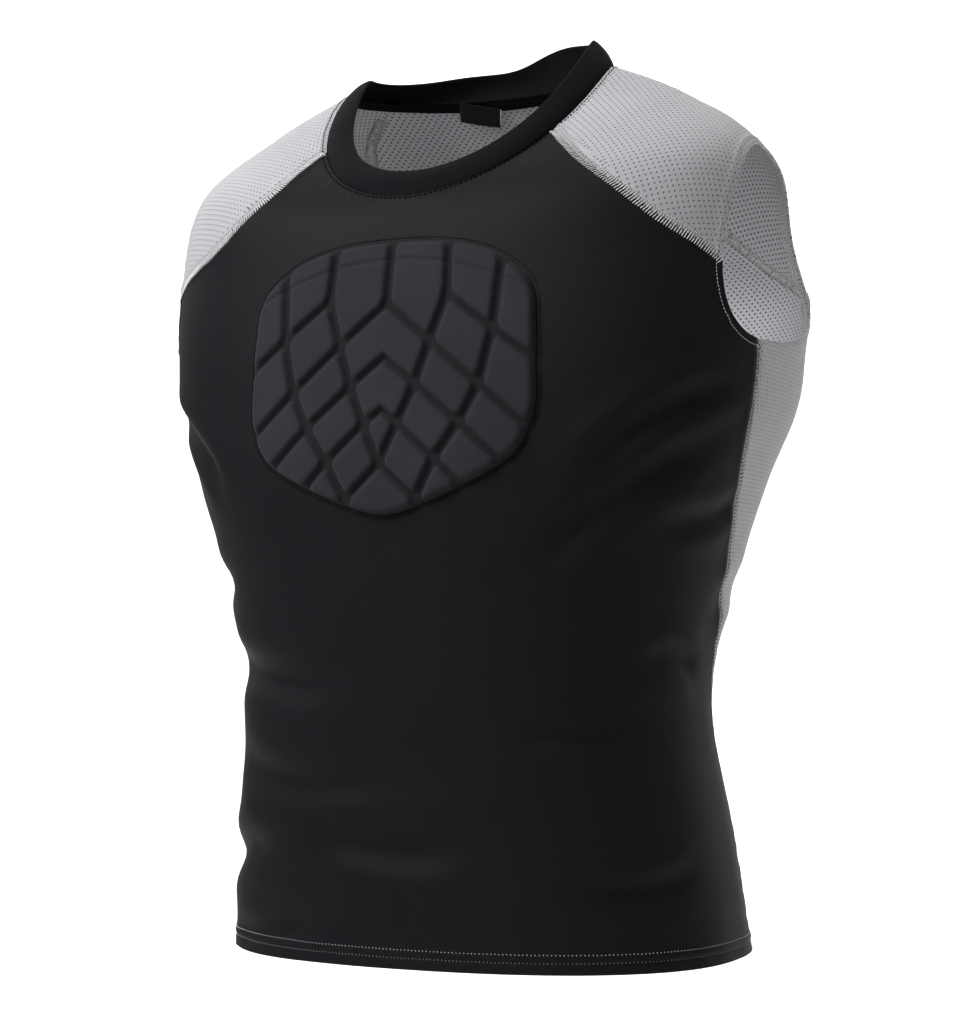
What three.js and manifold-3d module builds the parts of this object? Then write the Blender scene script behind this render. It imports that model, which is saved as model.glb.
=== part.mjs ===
import * as THREE from 'three';
import { mergeVertices } from 'three/addons/utils/BufferGeometryUtils.js';
import Module from 'manifold-3d';

const wasm = await Module();
wasm.setup();

// Padded compression shirt without sleeves, filled out as worn, in millimetres.
// The wearer's left is +X, the front faces -Y, +Z is up, and the origin lies between the shoulders.

// Driving sizes
const seamGap = 0.3;
const jerseyWall = 1.6;
const meshWall = 1.4;
const turnedWall = 2.4;
const hemHeight = 14;

// Each row is a loop of cloth, from the hem up to the neck seam. The columns front, side and back are
// heights at the three places, width, ahead and behind are reaches from the loop's middle, and middle
// is its place along Y. Higher boxFront and boxBack give squarer corners.
const columns = ['front', 'side', 'back', 'width', 'ahead', 'behind', 'middle', 'boxFront', 'boxBack'];
const sections = {
  hem: [-602, -600, -598, 180, 126, 114, 22, 2.5, 2.6],
  hip: [-532, -530, -530, 173, 125, 108, 14, 2.5, 2.6],
  waist: [-430, -430, -430, 162, 127, 98, 2, 2.4, 2.5],
  lowRib: [-355, -355, -355, 174, 146, 106, 11, 2.4, 2.6],
  rib: [-285, -285, -285, 196, 151, 120, 8, 2.5, 2.8],
  chest: [-235, -235, -235, 212, 149, 142, 10, 2.6, 3.1],
  underarm: [-197, -197, -197, 216, 146, 150, 11, 2.7, 3.3],
  armMiddle: [-165, -132, -142, 217, 142, 160, 12, 2.6, 3.4],
  shoulder: [-136, -62, -86, 203, 130, 124, 6, 2.5, 3.0],
  yoke: [-115, -23, -38, 152, 121, 90, 2, 2.2, 2.4],
  neck: [-100, 0, -2, 101, 112, 50, 0, 2.1, 2.1],
};
const level = Object.fromEntries(Object.keys(sections).map((name, index) => [name, index]));

// Shapes the climb of a loop from its front and back heights to its side height.
const sideClimb = 1.2;

// The armhole runs round from its bottom, turn -90, to the shoulder tip, turn 90.
const armhole = {
  bottomAngle: 79.5,
  topAngle: 88,
  reachFront: 14,
  reachBack: 36,
  bottomLevel: level.underarm,
  topLevel: level.shoulder,
  frontCornerTurn: -9,
  backCornerTurn: -24,
};

// Where the raglan seams meet the collar, as angles from the centre front
const neckCornerFront = 53;
const neckCornerBack = 111;

// Turn that each raglan seam adds to a straight run, in equal steps from the armhole to the neck
const raglanBow = {
  front: { left: [0, -7.4, -9.8, -8.6, -5, 0], right: [0, -12, -14.7, -13, -7.6, 0] },
  back: { left: [0, 15, 19, 11, 3, 0], right: [0, 15, 19, 11, 3, 0] },
};

// Side seam angles, one for each row of the sections from the hem to the underarm
const sideSeam = [107, 106, 101, 91.5, 83.5, 80, 79.5];

// The neck band stands up from the neck seam. Its leans are angles from level, and the band lies
// flatter on the wearer's right, and stands up higher behind the left shoulder, as in the photo.
const collar = {
  wall: 2.4,
  widthFront: 22,
  widthSide: 20,
  widthBack: 17,
  leanFront: 54,
  leanLeft: 54,
  leanBack: 72,
  leanRight: 25,
  riseAngle: 126,
  riseWide: 27,
  riseWidth: 8.5,
  riseLean: 14,
  aimAhead: 20,
  bulge: 1.5,
  crown: 1,
  steps: 3,
};

// The tape lies under the back neck seam, and the folded label hangs from it, a little to the right.
const neckTape = { width: 8, wall: 1, overShoulder: 3, clear: 0.8 };
const neckLabel = { width: 30, height: 18, wall: 0.9, across: -20, drop: 1, turn: -3, clear: 1 };

// Chest pad, in millimetres across and up the front. Its outline is rounder below than above.
const pad = {
  middle: -222,
  outlineStep: 15,
  outlineStart: -105,
  seat: 0.45,
  base: 2.2,
  height: 5.5,
  sunk: 0.5,
  groove: 4.2,
  rim: 1.6,
  bevel: 1.2,
  spokes: 48,
  rings: 7,
};

// Distance from the pad's middle to its outline at each step of turning, from just past the bottom upwards
// to just past the top. Both sides are alike.
const padReach = [87.3, 89, 87.3, 88, 93.5, 102.5, 103.7, 101, 103.7, 110.5, 105.4, 97, 90.5, 88, 90.5];

// Grooves of the pad's left half, one row for each arm that runs down and out from the centre line.
// Each column is where it crosses the centre line, the two upright grooves and the pad's edge.
const grooveArms = [
  { name: 'top', centre: [0, -128], inner: [40, -128], outer: [78, -140], edge: [122, -140] },
  { name: 'shoulder', centre: [0, -150], inner: [42, -172], outer: [74, -196], edge: [122, -232] },
  { name: 'first', centre: [0, -176], inner: [32, -202], outer: [66, -231], edge: [122, -281] },
  { name: 'second', centre: [0, -211], inner: [23, -229], outer: [54, -255], edge: [100, -297] },
  { name: 'third', centre: [0, -245], inner: [12, -254], outer: [38, -277], edge: [75, -311] },
  { name: 'last', centre: [0, -279], inner: [0, -279], outer: [25, -301], edge: [36, -320] },
];

// Soft creases of the cloth. Each is a trough, deepest at its angle and level, that leans as it runs.
const folds = [
  { name: 'waistRight', angle: -58, at: 2.25, wide: 30, tall: 0.2, depth: 3, lean: 0.1 },
  { name: 'waistLeft', angle: 66, at: 1.85, wide: 26, tall: 0.18, depth: 2.6, lean: -0.12 },
  { name: 'bellyAcross', angle: -16, at: 1.55, wide: 30, tall: 0.16, depth: 1.8, lean: 0.05 },
  { name: 'hipRight', angle: -50, at: 0.65, wide: 22, tall: 0.22, depth: 2.4, lean: -0.2 },
  { name: 'hipLeft', angle: 72, at: 0.8, wide: 24, tall: 0.2, depth: 2, lean: 0.15 },
  { name: 'underarmLeft', angle: 60, at: 4.1, wide: 16, tall: 0.4, depth: 2.2, lean: 0.6 },
  { name: 'underarmRight', angle: -62, at: 4.2, wide: 15, tall: 0.4, depth: 2, lean: -0.6 },
  { name: 'backWaist', angle: 172, at: 2.05, wide: 40, tall: 0.2, depth: 3, lean: 0.08 },
  { name: 'backHip', angle: -165, at: 1.1, wide: 34, tall: 0.2, depth: 2.2, lean: -0.1 },
];

// Numbers of strips that each piece is divided in
const strips = { frontAcross: 36, backAcross: 24, shoulderAcross: 10, side: 16, armhole: 5, raglan: 7 };

const palette = {
  jersey: { color: '#1d1d1f', roughness: 0.85, metalness: 0 },
  mesh: { color: '#a3a3a8', roughness: 0.8, metalness: 0 },
  trim: { color: '#17171a', roughness: 0.8, metalness: 0 },
  foam: { color: '#2a2a2d', roughness: 0.9, metalness: 0 },
};

// Small steps that slopes of the cloth are measured over, and how often frontPlace repeats
const nudge = { angle: 0.5, at: 0.02 };
const solveSteps = 8;

const radians = THREE.MathUtils.degToRad;
const lerp = THREE.MathUtils.lerp;

// Smooth curve between b and c, whose neighbours are a and d
function smoothBetween(a, b, c, d, part) {
  const slopeIn = (c - a) / 2;
  const slopeOut = (d - b) / 2;
  const p2 = part * part;
  const p3 = p2 * part;
  return (2 * p3 - 3 * p2 + 1) * b + (p3 - 2 * p2 + part) * slopeIn
    + (3 * p2 - 2 * p3) * c + (p3 - p2) * slopeOut;
}

// Value of a list at a place between its entries
function smoothList(values, at) {
  const last = values.length - 1;
  const index = Math.min(Math.max(Math.floor(at), 0), last - 1);
  const pick = (offset) => values[Math.min(Math.max(index + offset, 0), last)];
  return smoothBetween(pick(-1), pick(0), pick(1), pick(2), at - index);
}

// The section at any level between the rows, with its values by column
function sectionAt(at) {
  const rows = Object.values(sections);
  return Object.fromEntries(columns.map((column, n) => [column, smoothList(rows.map((row) => row[n]), at)]));
}

// Depth of all creases at one place
function foldDepth(angle, at) {
  return folds.reduce((sum, fold) => {
    const turn = ((angle - fold.angle + 540) % 360) - 180;
    const along = turn / fold.wide;
    const across = (at - fold.at - fold.lean * along) / fold.tall;
    return sum + fold.depth * Math.exp(-(along ** 2) - across ** 2);
  }, 0);
}

// Point on the outside of the cloth, by its angle from the centre front and its level in the sections
function clothPoint(angle, at) {
  const row = sectionAt(at);
  const toSide = Math.sin(radians(angle));
  const toFront = Math.cos(radians(angle));
  const depth = toFront > 0 ? row.ahead : row.behind;
  const box = toFront > 0 ? row.boxFront : row.boxBack;
  const reach = (Math.abs(toSide / row.width) ** box + Math.abs(toFront / depth) ** box) ** (-1 / box)
    - foldDepth(angle, at);
  const end = toFront > 0 ? row.front : row.back;
  const height = row.side + (end - row.side) * Math.abs(toFront) ** sideClimb;
  return new THREE.Vector3(reach * toSide, row.middle - reach * toFront, height);
}

function clothNormal(angle, at) {
  const around = clothPoint(angle + nudge.angle, at).sub(clothPoint(angle - nudge.angle, at));
  const low = Math.max(at - nudge.at, level.hem);
  const high = Math.min(at + nudge.at, level.neck);
  const along = clothPoint(angle, high).sub(clothPoint(angle, low));
  return around.cross(along).normalize();
}

// Point over the cloth, or under it where out is negative
function clothPlace({ angle, at }, out) {
  return clothPoint(angle, at).addScaledVector(clothNormal(angle, at), out);
}

// One point on the armhole's edge, on its front or back half
function armholeEdge(side, turn) {
  const rise = (1 + Math.sin(radians(turn))) / 2;
  const spread = Math.cos(radians(turn));
  const reach = side === 'front' ? -armhole.reachFront : armhole.reachBack;
  return {
    angle: lerp(armhole.bottomAngle, armhole.topAngle, rise) + reach * spread,
    at: lerp(armhole.bottomLevel, armhole.topLevel, rise),
  };
}

// Where a raglan seam meets the armhole
function cornerTurn(side) {
  return side === 'front' ? armhole.frontCornerTurn : armhole.backCornerTurn;
}

// One point on a raglan seam, from the armhole, part 0, to the collar, part 1
function raglanSeam(side, hand, part) {
  const start = armholeEdge(side, cornerTurn(side));
  const end = side === 'front' ? neckCornerFront : neckCornerBack;
  const bow = raglanBow[side][hand];
  return {
    angle: lerp(start.angle, end, part) + smoothList(bow, part * (bow.length - 1)),
    at: lerp(start.at, level.neck, part),
  };
}

// Edge of the front or back panel on one hand, from the hem to the neck. Middle is the level that the
// same row has at the centre of the panel.
function panelEdge(side, hand) {
  const edge = [];
  for (let i = 0; i <= strips.side; i += 1) {
    const at = (i / strips.side) * level.underarm;
    edge.push({ angle: smoothList(sideSeam, at), at, middle: at });
  }
  const corner = armholeEdge(side, cornerTurn(side));
  for (let i = 1; i <= strips.armhole; i += 1) {
    const part = i / strips.armhole;
    const place = armholeEdge(side, lerp(-90, cornerTurn(side), part));
    edge.push({ ...place, middle: lerp(level.underarm, corner.at, part) });
  }
  for (let i = 1; i <= strips.raglan; i += 1) {
    const place = raglanSeam(side, hand, i / strips.raglan);
    edge.push({ ...place, middle: place.at });
  }
  return edge;
}

// Grid of places on a panel. Each row runs from one edge to the other, and bends where its edge
// levels differ from its middle.
function panelGrid(side, across) {
  const turnTo = side === 'front' ? 0 : 180;
  const right = panelEdge(side, 'right');
  return panelEdge(side, 'left').map(({ angle, at, middle }, i) => {
    const row = [];
    for (let j = 0; j <= across; j += 1) {
      const spot = (2 * j) / across - 1;
      const reach = (spot > 0 ? angle : right[i].angle) - turnTo;
      row.push({ angle: turnTo + reach * spot, at: lerp(middle, at, spot * spot) });
    }
    return side === 'front' ? row : row.reverse();
  });
}

// A shoulder between its two raglan seams, the collar and the top of the armhole, as on the left
function shoulderGrid(hand) {
  const grid = [];
  const start = { front: cornerTurn('front'), back: cornerTurn('back') };
  const span = 180 - start.front - start.back;
  for (let i = 0; i <= strips.raglan; i += 1) {
    const up = i / strips.raglan;
    const front = raglanSeam('front', hand, up);
    const back = raglanSeam('back', hand, up);
    const row = [];
    for (let j = 0; j <= strips.shoulderAcross; j += 1) {
      const over = j / strips.shoulderAcross;
      const turn = start.front + span * over;
      const low = turn <= 90 ? armholeEdge('front', turn) : armholeEdge('back', 180 - turn);
      const high = { angle: lerp(neckCornerFront, neckCornerBack, over), at: level.neck };
      const blend = (key) => lerp(low[key], high[key], up) + lerp(front[key], back[key], over)
        - lerp(
          lerp(raglanSeam('front', hand, 0)[key], raglanSeam('back', hand, 0)[key], over),
          lerp(raglanSeam('front', hand, 1)[key], raglanSeam('back', hand, 1)[key], over),
          up,
        );
      row.push({ angle: blend('angle'), at: blend('at') });
    }
    grid.push(row);
  }
  return grid;
}

// Closed wall between a grid of outer points and the matching grid of inner points. Each face is
// split along its shorter diagonal.
function wallGeometry(outer, inner) {
  const rows = outer.length;
  const cols = outer[0].length;
  const positions = [];
  [outer, inner].forEach((grid) => grid.flat().forEach((point) => positions.push(...point.toArray())));
  const index = [];
  const inside = rows * cols;
  const spot = (i, j) => i * cols + j;
  const quad = (a, b, c, d) => index.push(a, b, c, a, c, d);
  for (let i = 0; i < rows - 1; i += 1) {
    for (let j = 0; j < cols - 1; j += 1) {
      const [a, b, c, d] = [spot(i, j), spot(i, j + 1), spot(i + 1, j + 1), spot(i + 1, j)];
      const shortOneWay = outer[i][j].distanceTo(outer[i + 1][j + 1])
        < outer[i][j + 1].distanceTo(outer[i + 1][j]);
      const [p, q, r, s] = shortOneWay ? [a, b, c, d] : [b, c, d, a];
      quad(p, q, r, s);
      quad(inside + p, inside + s, inside + r, inside + q);
    }
  }
  const rim = (from, to) => quad(from, to, inside + to, inside + from);
  for (let i = 0; i < rows - 1; i += 1) {
    rim(spot(i, 0), spot(i + 1, 0));
    rim(spot(i + 1, cols - 1), spot(i, cols - 1));
  }
  for (let j = 0; j < cols - 1; j += 1) {
    rim(spot(0, j + 1), spot(0, j));
    rim(spot(rows - 1, j), spot(rows - 1, j + 1));
  }
  const geometry = new THREE.BufferGeometry();
  geometry.setAttribute('position', new THREE.Float32BufferAttribute(positions, 3));
  geometry.setIndex(index);
  return geometry;
}

function named(name, geometry, look) {
  const made = new THREE.Mesh(geometry, new THREE.MeshStandardMaterial(palette[look]));
  made.name = name;
  return made;
}

// Draws the outermost points of a grid in by half the seam gap, so that neighbours stay apart.
function drawIn(points) {
  const pull = (edge, next) => {
    const step = next.clone().sub(edge);
    return edge.clone().addScaledVector(step.normalize(), seamGap / 2);
  };
  const last = points.length - 1;
  const rows = points.map((row) => {
    const end = row.length - 1;
    return row.map((point, j) => {
      if (j === 0) return pull(point, row[1]);
      return j === end ? pull(point, row[end - 1]) : point;
    });
  });
  return rows.map((row, i) => row.map((point, j) => {
    if (i === 0) return pull(point, rows[1][j]);
    return i === last ? pull(point, rows[last - 1][j]) : point;
  }));
}

// A piece of cloth on a grid of places, with its wall's thickness by place
function clothPanel(name, grid, look, wallAt) {
  const outer = drawIn(grid.map((row) => row.map((place) => clothPlace(place, 0))));
  const inner = grid.map((row, i) => row.map((place, j) => {
    const normal = clothNormal(place.angle, place.at);
    return outer[i][j].clone().addScaledVector(normal, -wallAt(place));
  }));
  return named(name, wallGeometry(outer, inner), look);
}

// Level of the hem's upper edge
const hemTop = hemHeight / (clothPoint(90, level.hip).z - clothPoint(90, level.hem).z);

function wallOf(plain) {
  return ({ at }) => (at < hemTop ? turnedWall : plain);
}

// The same grid on the other side of the body
function mirrored(grid) {
  return grid.map((row) => row.map(({ angle, at }) => ({ angle: -angle, at })).reverse());
}

function buildPanels({ front, back, shoulderLeft, shoulderRight }) {
  return [
    clothPanel('front_panel', front, 'jersey', wallOf(jerseyWall)),
    clothPanel('back_panel', back, 'mesh', wallOf(meshWall)),
    clothPanel('shoulder_left', shoulderLeft, 'mesh', wallOf(meshWall)),
    clothPanel('shoulder_right', shoulderRight, 'mesh', wallOf(meshWall)),
  ];
}

// Direction of the collar over one place of the neck seam: in towards the neck, and up
function collarLean(angle) {
  const toFront = Math.cos(radians(angle));
  const share = toFront ** 2;
  const end = toFront > 0 ? 'Front' : 'Back';
  const side = Math.sin(radians(angle)) > 0 ? 'Left' : 'Right';
  const rise = Math.exp(-(((angle - collar.riseAngle) / collar.riseWide) ** 2));
  const width = lerp(collar.widthSide, collar[`width${end}`], share) + collar.riseWidth * rise;
  const lean = radians(lerp(collar[`lean${side}`], collar[`lean${end}`], share) + collar.riseLean * rise);
  return { inward: width * Math.cos(lean), upward: width * Math.sin(lean) };
}

// Angles of the neck seam's points, in order round the neck, taken from the panels' own top edges
function neckAngles(panels) {
  const angles = panels.flatMap((grid) => grid.at(-1).slice(0, -1).map((place) => place.angle));
  return angles.map((angle) => (angle + 360) % 360).sort((a, b) => a - b);
}

// Outline of the band over one place of the neck seam. Its front half leans towards a point a little
// ahead of the middle.
function collarSection(angle) {
  const seam = clothPoint(angle, level.neck);
  const { inward, upward } = collarLean(angle);
  const aim = seam.y > 0 ? 0 : collar.aimAhead;
  const towards = new THREE.Vector3(-seam.x, -seam.y - aim, 0).normalize();
  const climb = towards.clone().multiplyScalar(inward).add(new THREE.Vector3(0, 0, upward));
  const outward = towards.clone().multiplyScalar(-upward).add(new THREE.Vector3(0, 0, inward)).normalize();
  const start = seamGap / climb.length();
  const profile = [];
  for (let k = 0; k <= collar.steps; k += 1) {
    const part = lerp(start, 1, k / collar.steps);
    const bulge = collar.bulge * Math.sin(Math.PI * part);
    profile.push(seam.clone().addScaledVector(climb, part).addScaledVector(outward, bulge));
  }
  const inner = profile.map((point) => point.clone().addScaledVector(outward, -collar.wall));
  const crown = profile.at(-1).clone().add(inner.at(-1)).multiplyScalar(0.5)
    .addScaledVector(climb, collar.crown / climb.length());
  return [...profile, crown, ...inner.reverse()];
}

// Closed ring through sections that all have the same number of points
function ringGeometry(ringSections) {
  const count = ringSections.length;
  const size = ringSections[0].length;
  const index = [];
  for (let i = 0; i < count; i += 1) {
    for (let k = 0; k < size; k += 1) {
      const a = i * size + k;
      const b = ((i + 1) % count) * size + k;
      const c = ((i + 1) % count) * size + ((k + 1) % size);
      const d = i * size + ((k + 1) % size);
      index.push(a, b, c, a, c, d);
    }
  }
  const geometry = new THREE.BufferGeometry();
  const positions = ringSections.flat().flatMap((point) => point.toArray());
  geometry.setAttribute('position', new THREE.Float32BufferAttribute(positions, 3));
  geometry.setIndex(index);
  return geometry;
}

function buildCollar(panels) {
  return named('collar_band', ringGeometry(neckAngles(panels).map(collarSection)), 'trim');
}

// Tape along the inside of the back neck seam, made from the two top rows of the panels under it
function buildNeckTape({ back, shoulderLeft, shoulderRight }) {
  const fromRight = (grid, first, last) => [grid.at(-1), grid.at(-2)].map((row) => row.slice(first, last));
  const over = strips.shoulderAcross - neckTape.overShoulder;
  const pieces = [
    fromRight(shoulderLeft, over, -1),
    fromRight(back, 0, -1),
    fromRight(shoulderRight, 0, neckTape.overShoulder + 1),
  ];
  const [upper, lower] = [0, 1].map((row) => pieces.flatMap((piece) => piece[row]));
  const layer = (depth, drop) => upper.map((place, j) => {
    const top = clothPlace(place, -depth);
    const next = clothPlace(lower[j], -depth);
    return top.lerp(next, drop / top.distanceTo(next));
  });
  const outerDepth = meshWall + neckTape.clear;
  const grid = (depth) => [layer(depth, neckTape.width), layer(depth, seamGap)];
  return named('back_neck_tape', wallGeometry(grid(outerDepth), grid(outerDepth + neckTape.wall)), 'trim');
}

function neckToYoke(angle) {
  return clothPoint(angle, level.neck).distanceTo(clothPoint(angle, level.yoke));
}

// A flat folded label that hangs square to the tape, from the neck seam
function buildNeckLabel() {
  const { width, height, wall, across, drop, turn, clear } = neckLabel;
  const depth = meshWall + neckTape.clear + neckTape.wall + clear + wall / 2;
  const angle = 180 - THREE.MathUtils.radToDeg(Math.atan2(across, clothPoint(180, level.neck).y));
  const halfTurn = THREE.MathUtils.radToDeg(width / 2 / clothPoint(180, level.neck).y);
  const top = clothPlace({ angle, at: level.neck }, -depth);
  const lower = clothPlace({ angle, at: lerp(level.neck, level.yoke, height / neckToYoke(angle)) }, -depth);
  const down = lower.sub(top).normalize();
  const [left, right] = [-halfTurn, halfTurn].map((step) => clothPoint(angle + step, level.neck));
  const inward = left.sub(right).cross(down).normalize();
  const side = down.clone().cross(inward);
  const label = named('neck_label', new THREE.BoxGeometry(width, height, wall), 'trim');
  label.setRotationFromMatrix(new THREE.Matrix4().makeBasis(side, down.clone().negate(), inward.negate()));
  label.rotateZ(radians(turn));
  label.position.copy(top).addScaledVector(down, height / 2 + drop);
  return label;
}

// Angle and level of the front cloth at a place across and up, found by repeated small steps
function frontPlace(across, height) {
  let angle = 0;
  let at = level.chest;
  for (let step = 0; step < solveSteps; step += 1) {
    const here = clothPoint(angle, at);
    const turned = clothPoint(angle + nudge.angle, at).sub(here).divideScalar(nudge.angle);
    const raised = clothPoint(angle, at + nudge.at).sub(here).divideScalar(nudge.at);
    const missX = across - here.x;
    const missZ = height - here.z;
    const scale = turned.x * raised.z - raised.x * turned.z;
    angle += (missX * raised.z - raised.x * missZ) / scale;
    at += (turned.x * missZ - missX * turned.z) / scale;
  }
  return { angle, at };
}

// Place on the pad's outline, drawn in by inset, from the pad's middle
function padOutline(turn, inset) {
  const sine = Math.sin(radians(turn));
  const rise = (Math.asin(sine) * 180) / Math.PI;
  const reach = smoothList(padReach, (rise - pad.outlineStart) / pad.outlineStep) - inset;
  return [reach * Math.cos(radians(turn)), reach * sine];
}

function onPad([across, height], out) {
  return clothPlace(frontPlace(across, height), pad.seat + out);
}

// Closed solid from flat layers, each a ring of places on the chest with its height over the cloth
function layeredSolid(layers, capFaces) {
  const size = layers[0].ring.length;
  const positions = layers.flatMap(({ ring, out }) => ring.flatMap((place) => onPad(place, out).toArray()));
  const index = [];
  layers.slice(1).forEach((_, k) => {
    for (let i = 0; i < size; i += 1) {
      const next = (i + 1) % size;
      const [a, b, c, d] = [k * size + i, k * size + next, (k + 1) * size + next, (k + 1) * size + i];
      index.push(a, b, c, a, c, d);
    }
  });
  const top = (layers.length - 1) * size;
  capFaces.forEach(([a, b, c]) => index.push(a, c, b, top + a, top + b, top + c));
  return manifoldOf(positions, index);
}

function manifoldOf(positions, index) {
  const geometry = new THREE.BufferGeometry();
  geometry.setAttribute('position', new THREE.Float32BufferAttribute(positions, 3));
  geometry.setIndex(index);
  const merged = mergeVertices(geometry, 1e-4);
  return new wasm.Manifold(new wasm.Mesh({
    numProp: 3,
    vertProperties: merged.getAttribute('position').array,
    triVerts: new Uint32Array(merged.index.array),
  }));
}

// The pad's base plate, with rings of points from its rim to its middle so that it follows the chest
function padBase() {
  const ring = (share) => Array.from({ length: pad.spokes }, (_, i) => {
    const [x, z] = padOutline((360 * i) / pad.spokes, 0);
    return [x * share, pad.middle + z * share];
  });
  const places = Array.from({ length: pad.rings }, (_, k) => ring(1 - k / pad.rings)).flat();
  places.push([0, pad.middle]);
  const low = places.map((place) => onPad(place, 0).toArray()).flat();
  const high = places.map((place) => onPad(place, pad.base).toArray()).flat();
  const faces = [];
  for (let i = 0; i < pad.spokes; i += 1) {
    const next = (i + 1) % pad.spokes;
    for (let k = 0; k < pad.rings - 1; k += 1) {
      const [a, b] = [k * pad.spokes + i, k * pad.spokes + next];
      faces.push([a, b, b + pad.spokes], [a, b + pad.spokes, a + pad.spokes]);
    }
    const inner = (pad.rings - 1) * pad.spokes;
    faces.push([inner + i, inner + next, places.length - 1]);
  }
  const over = places.length;
  const index = faces.flatMap(([a, b, c]) => [a, c, b, over + a, over + b, over + c]);
  for (let i = 0; i < pad.spokes; i += 1) {
    const next = (i + 1) % pad.spokes;
    index.push(i, next, over + next, i, over + next, over + i);
  }
  return manifoldOf([...low, ...high], index);
}

// Corners of each raised cell between the grooves, as places across and up: the cells of the two outer
// columns, the upper pair, then the two chevrons, the diamond and the bottom cell on the centre line
function grooveCells() {
  const across = ([x, height]) => [-x, height];
  const sideCells = grooveArms.slice(0, -1).flatMap((arm, k) => {
    const below = grooveArms[k + 1];
    return [['inner', 'outer'], ['outer', 'edge']].map(([near, far]) => (
      [arm[near], arm[far], below[far], below[near]]
    ));
  });
  const [top, shoulder, first, second, third, last] = grooveArms;
  const pairs = [...sideCells, [top.centre, top.inner, shoulder.inner, first.inner, first.centre]];
  const chevrons = [[first, second], [second, third]].map(([arm, below]) => (
    [arm.centre, arm.inner, below.inner, below.centre, across(below.inner), across(arm.inner)]
  ));
  const diamond = [third.centre, third.inner, last.centre, across(third.inner)];
  const bottom = [last.centre, last.outer, last.edge, across(last.edge), across(last.outer)];
  return [...pairs, ...pairs.map((cell) => cell.map(across)), ...chevrons, diamond, bottom];
}

// A ring of corners in the order that turns left
function turnedLeft(ring) {
  const corners = ring.map(([x, y]) => new THREE.Vector2(x, y));
  return THREE.ShapeUtils.isClockWise(corners) ? [...ring].reverse() : ring;
}

// Moves every side of a ring in by the same distance.
function insetRing(ring, distance) {
  return ring.map((corner, i) => {
    const before = ring.at(i - 1);
    const after = ring[(i + 1) % ring.length];
    const side = ([x0, y0], [x1, y1]) => {
      const size = Math.hypot(x1 - x0, y1 - y0);
      return [-(y1 - y0) / size, (x1 - x0) / size];
    };
    const [ax, ay] = side(before, corner);
    const [bx, by] = side(corner, after);
    const scale = distance / (1 + ax * bx + ay * by);
    return [corner[0] + (ax + bx) * scale, corner[1] + (ay + by) * scale];
  });
}

// Keeps the part of a ring that lies within the pad's outline, drawn in by its rim.
function clippedToPad(ring) {
  let kept = ring;
  for (let i = 0; i < pad.spokes; i += 1) {
    const [x0, y0] = padOutline((360 * i) / pad.spokes, pad.rim);
    const [x1, y1] = padOutline((360 * (i + 1)) / pad.spokes, pad.rim);
    const side = ([x, y]) => (x1 - x0) * (y - pad.middle - y0) - (y1 - y0) * (x - x0);
    kept = kept.flatMap((corner, k) => {
      const next = kept[(k + 1) % kept.length];
      const [here, there] = [side(corner), side(next)];
      const share = here / (here - there);
      const cross = [lerp(corner[0], next[0], share), lerp(corner[1], next[1], share)];
      if (here >= 0) return there < 0 ? [corner, cross] : [corner];
      return there > 0 ? [cross] : [];
    });
    if (!kept.length) return [];
  }
  return withoutShortSides(kept);
}

// Drops the corners that lie too close to the one before to be bevelled.
function withoutShortSides(ring) {
  return ring.filter(([x, y], i) => {
    const [px, py] = ring.at(i - 1);
    return Math.hypot(x - px, y - py) > pad.bevel;
  });
}

function buildPad() {
  let body = padBase();
  grooveCells().forEach((corners) => {
    const ring = clippedToPad(insetRing(turnedLeft(corners), pad.groove / 2));
    if (ring.length < 3) return;
    const shape = ring.map(([x, y]) => new THREE.Vector2(x, y));
    const faces = THREE.ShapeUtils.triangulateShape(shape, []);
    const cell = layeredSolid([
      { ring, out: pad.base - pad.sunk },
      { ring, out: pad.height - pad.bevel },
      { ring: insetRing(ring, pad.bevel), out: pad.height },
    ], faces);
    body = body.add(cell);
  });
  const { vertProperties, triVerts } = body.getMesh();
  const geometry = new THREE.BufferGeometry();
  geometry.setAttribute('position', new THREE.BufferAttribute(vertProperties, 3));
  geometry.setIndex(new THREE.BufferAttribute(triVerts, 1));
  return named('chest_pad', geometry, 'foam');
}

const group = new THREE.Group();
group.name = 'padded_compression_shirt';
const grids = {
  front: panelGrid('front', strips.frontAcross),
  back: panelGrid('back', strips.backAcross),
  shoulderLeft: shoulderGrid('left'),
  shoulderRight: mirrored(shoulderGrid('right')),
};
group.add(...buildPanels(grids), buildCollar(Object.values(grids)), buildNeckTape(grids), buildNeckLabel());
group.add(buildPad());

export default group;
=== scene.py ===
import math
from functools import partial

import bpy
import numpy as np
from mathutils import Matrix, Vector
from mathutils.bvhtree import BVHTree


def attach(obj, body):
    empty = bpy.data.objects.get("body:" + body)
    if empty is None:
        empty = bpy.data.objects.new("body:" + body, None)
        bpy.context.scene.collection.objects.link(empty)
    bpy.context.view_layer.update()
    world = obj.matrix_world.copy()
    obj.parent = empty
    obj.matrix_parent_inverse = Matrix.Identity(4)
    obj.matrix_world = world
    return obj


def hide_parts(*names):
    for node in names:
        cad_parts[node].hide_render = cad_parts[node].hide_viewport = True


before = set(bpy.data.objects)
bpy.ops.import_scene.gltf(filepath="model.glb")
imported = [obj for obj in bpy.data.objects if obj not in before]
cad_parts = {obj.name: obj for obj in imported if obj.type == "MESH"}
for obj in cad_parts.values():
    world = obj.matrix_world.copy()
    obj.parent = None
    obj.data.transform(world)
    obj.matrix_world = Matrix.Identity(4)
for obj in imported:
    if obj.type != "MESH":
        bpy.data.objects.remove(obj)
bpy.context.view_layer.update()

# Padded compression shirt without sleeves, filled out as worn. Metres.
# The wearer's left is +X and the front faces -Y.
rng = np.random.default_rng(11)

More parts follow.
